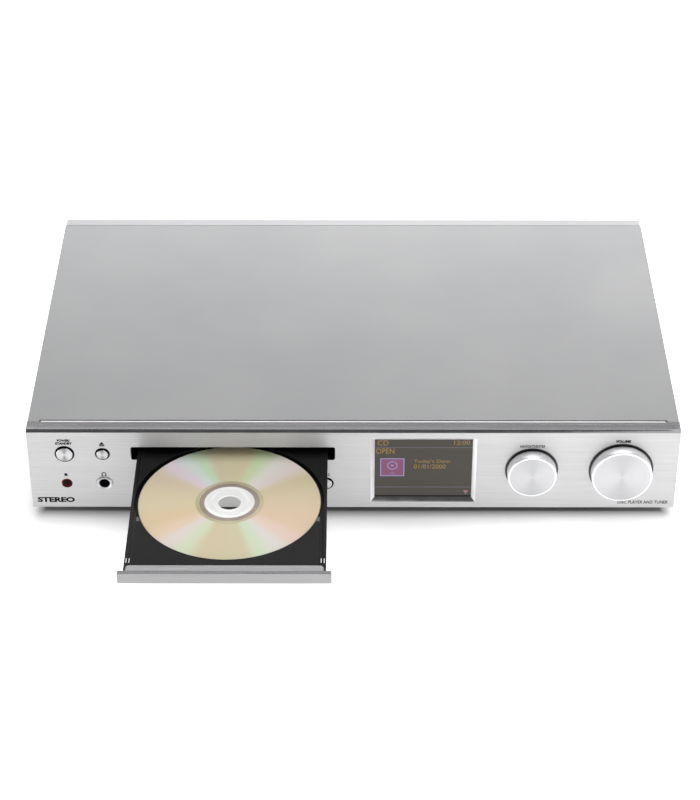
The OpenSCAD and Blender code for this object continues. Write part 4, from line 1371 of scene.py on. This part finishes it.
@dataclass
class Drawer:
    """The black drawer, its raised front deck and its brushed front plate."""

    body: str = "drawer"
    edge_mm: float = 0.25
    inset_mm: float = 4.55
    deck_mm: float = 0.55
    deck_front_mm: float = 6.1
    recess_gap_mm: float = 1.1
    ramp_from_mm: float = 70.0
    ramp_to_mm: float = 75.0
    glint_in_mm: float = 2.2
    glint_gap_mm: float = 0.95
    glint_back_mm: float = 9.5
    glint_mm: Point = (0.6, 4.4, 0.03)

    def tray(self) -> None:
        """The moulded drawer."""
        bm = merged_copy("disc_tray")
        piece = as_piece("drawer_moulding", bm, Finish.TRAY, self.body, "disc_tray")
        soften(piece, self.edge_mm)

    def plate(self) -> None:
        """The brushed front plate, with its top edge and the ledge behind it."""
        bm = merged_copy("tray_plate")
        chart_grain(bm)
        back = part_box("disc_tray")[0].y
        for face in bm.faces:
            if face.normal.z > 0.9:
                face.material_index = 1 if face.calc_center_median().y < back else 2
        extra = [Finish.TOP_EDGE, Finish.LEDGE]
        piece = as_piece(
            "drawer_front_plate", bm, Finish.PLATE, self.body, "tray_plate", extra
        )
        soften(piece, self.edge_mm)

    def front_deck(self) -> None:
        """The deck in front of the disc, a step above the rear deck, with a short ramp between them."""
        low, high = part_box("disc_tray")
        middle = centre_of("disc")
        disc_low, disc_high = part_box("disc")
        recess = (disc_high.x - disc_low.x) / 2 / MM + self.recess_gap_mm
        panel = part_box("front_panel")[0].y - middle.y
        half = (high.x - low.x) / 2 / MM - self.inset_mm
        rear = panel / MM - self.ramp_from_mm
        front = (low.y - middle.y) / MM + self.deck_front_mm
        stop = -math.degrees(math.asin(min(-rear / recess, 1.0)))
        round_disc = arc_points(recess, stop, -180 - stop, 64)
        outline = [(-half, front), (half, front), (half, rear), *round_disc, (-half, rear)]
        bm = flat_shape(outline, self.deck_mm)
        crease = (0, panel - self.ramp_to_mm * MM, 0)
        geom = bm.verts[:] + bm.edges[:] + bm.faces[:]
        bmesh.ops.bisect_plane(bm, geom=geom, plane_co=crease, plane_no=(0, 1, 0))
        for vert in bm.verts:
            if vert.co.z > 0 and vert.co.y > (rear - 0.01) * MM:
                vert.co.z = 0.05 * MM
        bmesh.ops.translate(bm, verts=bm.verts, vec=(middle.x, middle.y, high.z - (self.deck_mm + 0.04) * MM))
        for face in bm.faces:
            face.normal_update()
            face.material_index = 1 if 0.3 < face.normal.z < 0.9999 else 0
        extra = [Finish.RAMP]
        as_piece("drawer_front_deck", bm, Finish.TRAY, self.body, extra=extra, sharp=20)

    def marks(self) -> None:
        """Painted highlights: a pair of short white lines on each front corner of the drawer, standing for
        glints on its edges.
        """
        low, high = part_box("disc_tray")
        size = Vector(self.glint_mm) * MM
        whole = bmesh.new()
        for side in (low.x + self.glint_in_mm * MM, high.x - self.glint_in_mm * MM):
            for shift in (-self.glint_gap_mm, self.glint_gap_mm):
                near = Vector((side + shift * MM - size.x / 2, low.y + self.glint_back_mm * MM, high.z))
                merge_into(whole, bar(near, near + size))
        as_piece("drawer_painted_glints", whole, Finish.WHITE_INK, self.body)

    def build(self) -> None:
        """Make the drawer's visible parts."""
        self.tray()
        self.plate()
        self.front_deck()
        # Painted highlights at the drawer's front corners.
        self.marks()


@dataclass
class Disc:
    """A pressed disc lying data side up: foil, mirror bands, clear hub and rim."""

    hole_mm: float = 7.5
    hub_mm: float = 16.5
    brown_mm: float = 19.7
    mirror_mm: float = 22.2
    foil_mm: float = 59.6
    thick_mm: float = 1.2
    film_mm: float = 0.04
    soft_mm: float = 0.12
    steps: int = 192
    hub_steps: int = 128

    def ring(self, name: str, profile: Outline, finish: Finish, steps: int, replaces: str = "") -> None:
        """One turned layer of the disc.

        Args:
            name: The piece's name.
            profile: Its section: radius and height above the disc's underside, in millimetres.
            finish: Its finish.
            steps: Faces round it.
            replaces: The CAD node it stands in for, if any.
        """
        middle = centre_of("disc")
        middle.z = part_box("disc")[1].z - self.thick_mm * MM
        as_piece(name, lathe(profile, middle, "Z", steps), finish, "disc", replaces)

    def build(self) -> None:
        """Make the disc's rings."""
        low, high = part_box("disc")
        edge = (high.x - low.x) / 2 / MM
        soft = self.soft_mm
        bands = (
            ("disc_rim", self.mirror_mm, edge, 1.18, Finish.RIM),
            ("disc_brown_band", self.hub_mm, self.brown_mm, 1.19, Finish.BROWN_BAND),
            ("disc_mirror_band", self.brown_mm, self.mirror_mm, 1.19, Finish.PALE_FOIL),
        )
        for name, inner, outer, top, finish in bands:
            profile = [
                (inner, 0.02), (outer - soft, 0.0), (outer, soft), (outer, top - soft), (outer - soft, top),
                (inner, top), (inner, 0.02),
            ]
            self.ring(name, profile, finish, self.steps, "disc")
        top = self.thick_mm
        under = top - self.film_mm
        inner = self.mirror_mm
        foil = [(inner, under), (self.foil_mm, under), (self.foil_mm, top), (inner, top), (inner, under)]
        self.ring("disc_data_foil", foil, Finish.FOIL, self.steps)
        hole = self.hole_mm
        hub = [
            (hole, 0.1), (hole + 0.1, 0), (self.hub_mm, 0), (self.hub_mm, top), (15.2, top), (15.0, 1.1),
            (12.2, 1.1), (12.0, 1.22), (11.2, 1.22), (11.0, top), (9.2, top), (9.0, 1.15), (hole + 0.2, 1.15),
            (hole, 1.0), (hole, 0.1),
        ]
        self.ring("disc_clear_hub", hub, Finish.HUB, self.hub_steps)


@dataclass
class PlainParts:
    """The CAD nodes that stay in view as they are, each dressed in its real finish."""

    finishes: dict[Finish, tuple[str, ...]] = field(
        default_factory=lambda: {
            Finish.GLOSS_BLACK: ("navigate_collar", "volume_collar"),
            Finish.BRIGHT: (
                "cover_screws", "foot_screws", "navigate_encoder", "navigate_shaft", "volume_encoder",
                "volume_shaft", "inner_screws", "guide_rods", "loading_motor", "spindle_motor",
                "antenna_socket",
            ),
            Finish.BOARD: ("control_board", "main_board"),
            Finish.ZINC: ("base_pan", "network_module", "clamp_bridge", "drive_deck"),
            Finish.PARTS: ("power_supply",),
            Finish.BLACK: (
                "front_subframe", "headphone_socket", "display_module", "tact_switches", "power_inlet",
                "line_out_sockets", "optical_socket", "loader_frame", "clamp_puck", "turntable", "laser_sled",
            ),
            Finish.PAD: ("foot_pads", "loading_belt"),
            Finish.ACETAL: ("sled_gear", "pinion_gear", "loading_pulley"),
            Finish.BRASS: ("motor_pulley",),
        }
    )

    def build(self) -> None:
        """Dress the nodes."""
        for finish, nodes in self.finishes.items():
            dress(nodes, finish)


@dataclass
class Studio:
    """Pale floor, soft light and the camera."""

    floor_m: float = 9.0
    floor_glow: float = 0.85
    fibre_mm: float = 3.3
    tuck_mm: float = 7.0
    painted_shadow_mm: float = 52.0
    painted_contact_shadow_mm: float = 8.0
    painted_shadow_power: float = 0.6
    # Painted light on the floor: each stretch along x, from and to in metres, over which its glow grows, and
    # by how much.
    painted_side_glow: tuple[Point, ...] = ((0.02, 0.16, 0.42), (-0.14, -0.21, 0.2))
    eye: Point = (-0.0023, -1.3624, 0.9846)
    pitch_deg: float = 35.83
    roll_deg: float = 0.06
    lens_mm: float = 102.5
    # The sky's brightness at heights from the horizon to straight up.
    sky: tuple[tuple[float, float], ...] = (
        (0.0, 1.0), (0.42, 0.95), (0.52, 0.74), (0.60, 0.46), (0.70, 0.2), (0.82, 0.12), (1.0, 0.12),
    )
    # Name, place, target, size in metres and power in watts of each soft box.
    lamps: tuple[tuple[str, Point, Point, tuple[float, float], float], ...] = (
        ("top_box", (0.1, 0.5, 2.4), (0, 0, 0), (2.6, 1.6), 34),
        ("right_box", (1.71, -1.4, 1.85), (1.71, 0.02, 0.0), (2.8, 1.6), 10),
        ("back_box", (0.25, 1.5, 0.6), (0, 0, 0.05), (2.2, 0.7), 10),
        ("front_box", (0.1, -2.2, 0.6), (0, 0, 0.03), (2.6, 0.8), 8),
    )

    def gap(self, place: Socket) -> Socket:
        """How far a place on the floor lies outside the case's outline.

        Args:
            place: The floor's coordinates.

        Returns:
            The distance in metres, 0 under the case.
        """
        low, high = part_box("front_panel")[0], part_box("rear_panel")[1]
        span = (high - low) / 2 - Vector((1, 1, 0)) * self.tuck_mm * MM
        middle = (high + low) / 2
        steps = (
            {"operation": "SUBTRACT", 1: (middle.x, middle.y, 0)},
            {"operation": "ABSOLUTE"},
            {"operation": "SUBTRACT", 1: (span.x, span.y, 0)},
            {"operation": "MAXIMUM", 1: (0, 0, 0)},
        )
        for step in steps:
            place = add_node(place.id_data, "VectorMath", step, {0: place}).outputs[0]
        return add_node(place.id_data, "VectorMath", {"operation": "LENGTH"}, {0: place}).outputs["Value"]

    def glow(self, place: Socket, gap: Socket) -> Socket:
        """How strongly the floor glows: painted shadow dims it close to the case, and painted light raises it
        out at its sides.

        Args:
            place: The floor's coordinates.
            gap: The distance from the case.

        Returns:
            The strength.
        """
        tree = place.id_data
        along = add_node(tree, "SeparateXYZ", links={0: place}).outputs[0]
        level = None
        for start, end, more in self.painted_side_glow:
            ends = {"interpolation_type": "SMOOTHSTEP", "From Min": start, "From Max": end, "To Max": more}
            lift = add_node(tree, "MapRange", ends, {"Value": along})
            total = add_node(tree, "Math", {"operation": "ADD", 1: self.floor_glow}, {0: lift.outputs[0]})
            if level:
                tree.links.new(level, total.inputs[1])
            level = total.outputs[0]
        painted_shadow_share = add_node(tree, "MapRange", {"From Max": self.painted_shadow_mm * MM}, {"Value": gap})
        power = {"operation": "POWER", 1: self.painted_shadow_power}
        eased = add_node(tree, "Math", power, {0: painted_shadow_share.outputs[0]})
        return add_node(tree, "Math", {"operation": "MULTIPLY"}, {0: eased.outputs[0], 1: level}).outputs[0]

    def floor(self) -> None:
        """A seamless white floor that glows a little, with a painted shadow: the glow fades out and the
        colour darkens to grey under the case and close round it.
        """
        bm = bmesh.new()
        bmesh.ops.create_grid(bm, x_segments=1, y_segments=1, size=self.floor_m)
        mesh = bpy.data.meshes.new("floor")
        bm.to_mesh(mesh)
        bm.free()
        settings = {"Roughness": 0.9, "Specular IOR Level": 0.1, "Emission Color": linear("#FFFFFF")}
        material, shader, place = new_material("white_paper_sweep", settings)
        tree = material.node_tree
        fibre = add_node(tree, "TexNoise", {"Scale": cycles(self.fibre_mm)}, {"Vector": place})
        paper = two_tones(fibre.outputs[0], (0.0, 1.0), "#F3F3F3", "#F6F6F6")
        gap = self.gap(place)
        # Painted contact shadow: the paper darkens to grey under the case.
        clear = add_node(tree, "MapRange", {"From Max": self.painted_contact_shadow_mm * MM}, {"Value": gap})
        painted_contact_shadow = {"data_type": "RGBA", 6: linear("#8C8C8C")}
        tone = add_node(tree, "Mix", painted_contact_shadow, {0: clear.outputs[0], 7: paper})
        tree.links.new(tone.outputs[2], shader.inputs["Base Color"])
        # The glow carries the painted shadow round the case and the painted light at the sides.
        tree.links.new(self.glow(place, gap), shader.inputs["Emission Strength"])
        mesh.materials.append(material)
        floor = bpy.data.objects.new("floor", mesh)
        bpy.context.scene.collection.objects.link(floor)

    def world(self) -> None:
        """A sky that is white near the horizon and falls to a dark ceiling, sooner over the front."""
        world = bpy.data.worlds.new("studio")
        world.use_nodes = True
        bpy.context.scene.world = world
        tree = world.node_tree
        tree.nodes.clear()
        place = add_node(tree, "TexCoord")
        parts = add_node(tree, "SeparateXYZ", links={0: place.outputs["Generated"]})
        ends = {"From Min": 0.2, "From Max": -0.4, "To Min": 1.0, "To Max": 2.0}
        front = add_node(
            tree, "MapRange", {"interpolation_type": "SMOOTHSTEP", **ends}, {"Value": parts.outputs[1]}
        )
        height = add_node(tree, "Math", {"operation": "MULTIPLY"}, {0: parts.outputs[2], 1: front.outputs[0]})
        ramp = add_node(tree, "ValToRGB", links={0: height.outputs[0]})
        stops = ramp.color_ramp.elements
        stops[0].position = self.sky[0][0]
        stops[-1].position = self.sky[-1][0]
        for at, _ in self.sky[1:-1]:
            stops.new(at)
        for stop, (_, value) in zip(stops, self.sky):
            stop.color = (value, value, value, 1.0)
        light = add_node(tree, "Background", {"Strength": 1.0}, {"Color": ramp.outputs[0]})
        add_node(tree, "OutputWorld", links={"Surface": light.outputs[0]})

    def lamp(self, name: str, place: Point, target: Point, size: tuple[float, float], power: float) -> None:
        """A rectangular soft box that shines from a place to a target.

        Args:
            name: The lamp's name.
            place: Where it hangs.
            target: Where it points.
            size: Its sides in metres.
            power: Its power in watts.
        """
        data = bpy.data.lights.new(name, "AREA")
        data.shape = "RECTANGLE"
        data.size, data.size_y = size
        data.energy = power
        lamp = bpy.data.objects.new(name, data)
        lamp.location = place
        lamp.rotation_euler = (Vector(target) - Vector(place)).to_track_quat("-Z", "Y").to_euler()
        lamp.visible_camera = False
        bpy.context.scene.collection.objects.link(lamp)

    def camera(self) -> None:
        """The camera, level from side to side and looking down on the front."""
        data = bpy.data.cameras.new("camera")
        data.lens = self.lens_mm
        data.sensor_width = 36.0
        data.clip_end = 50.0
        camera = bpy.data.objects.new("camera", data)
        camera.location = self.eye
        pitch = Matrix.Rotation(math.radians(90 - self.pitch_deg), 3, "X")
        roll = Matrix.Rotation(math.radians(self.roll_deg), 3, "Z")
        camera.rotation_euler = (pitch @ roll).to_euler()
        bpy.context.scene.collection.objects.link(camera)
        bpy.context.scene.camera = camera

    def build(self) -> None:
        """Set the stage."""
        self.floor()
        self.world()
        for lamp in self.lamps:
            self.lamp(*lamp)
        self.camera()
        bpy.context.scene.view_settings.view_transform = "Standard"


def main() -> None:
    """Build every sub-assembly in order."""
    logging.basicConfig(level=logging.INFO, format="%(name)s %(message)s")
    Studio().build()
    CaseShell().build()
    Buttons().build()
    Knob("navigate_knob").build()
    Knob("volume_knob").build()
    Sockets().build()
    DisplayWindow().build()
    PanelPrint().build()
    Drawer().build()
    Disc().build()
    PlainParts().build()


if __name__ == "__main__":
    main()
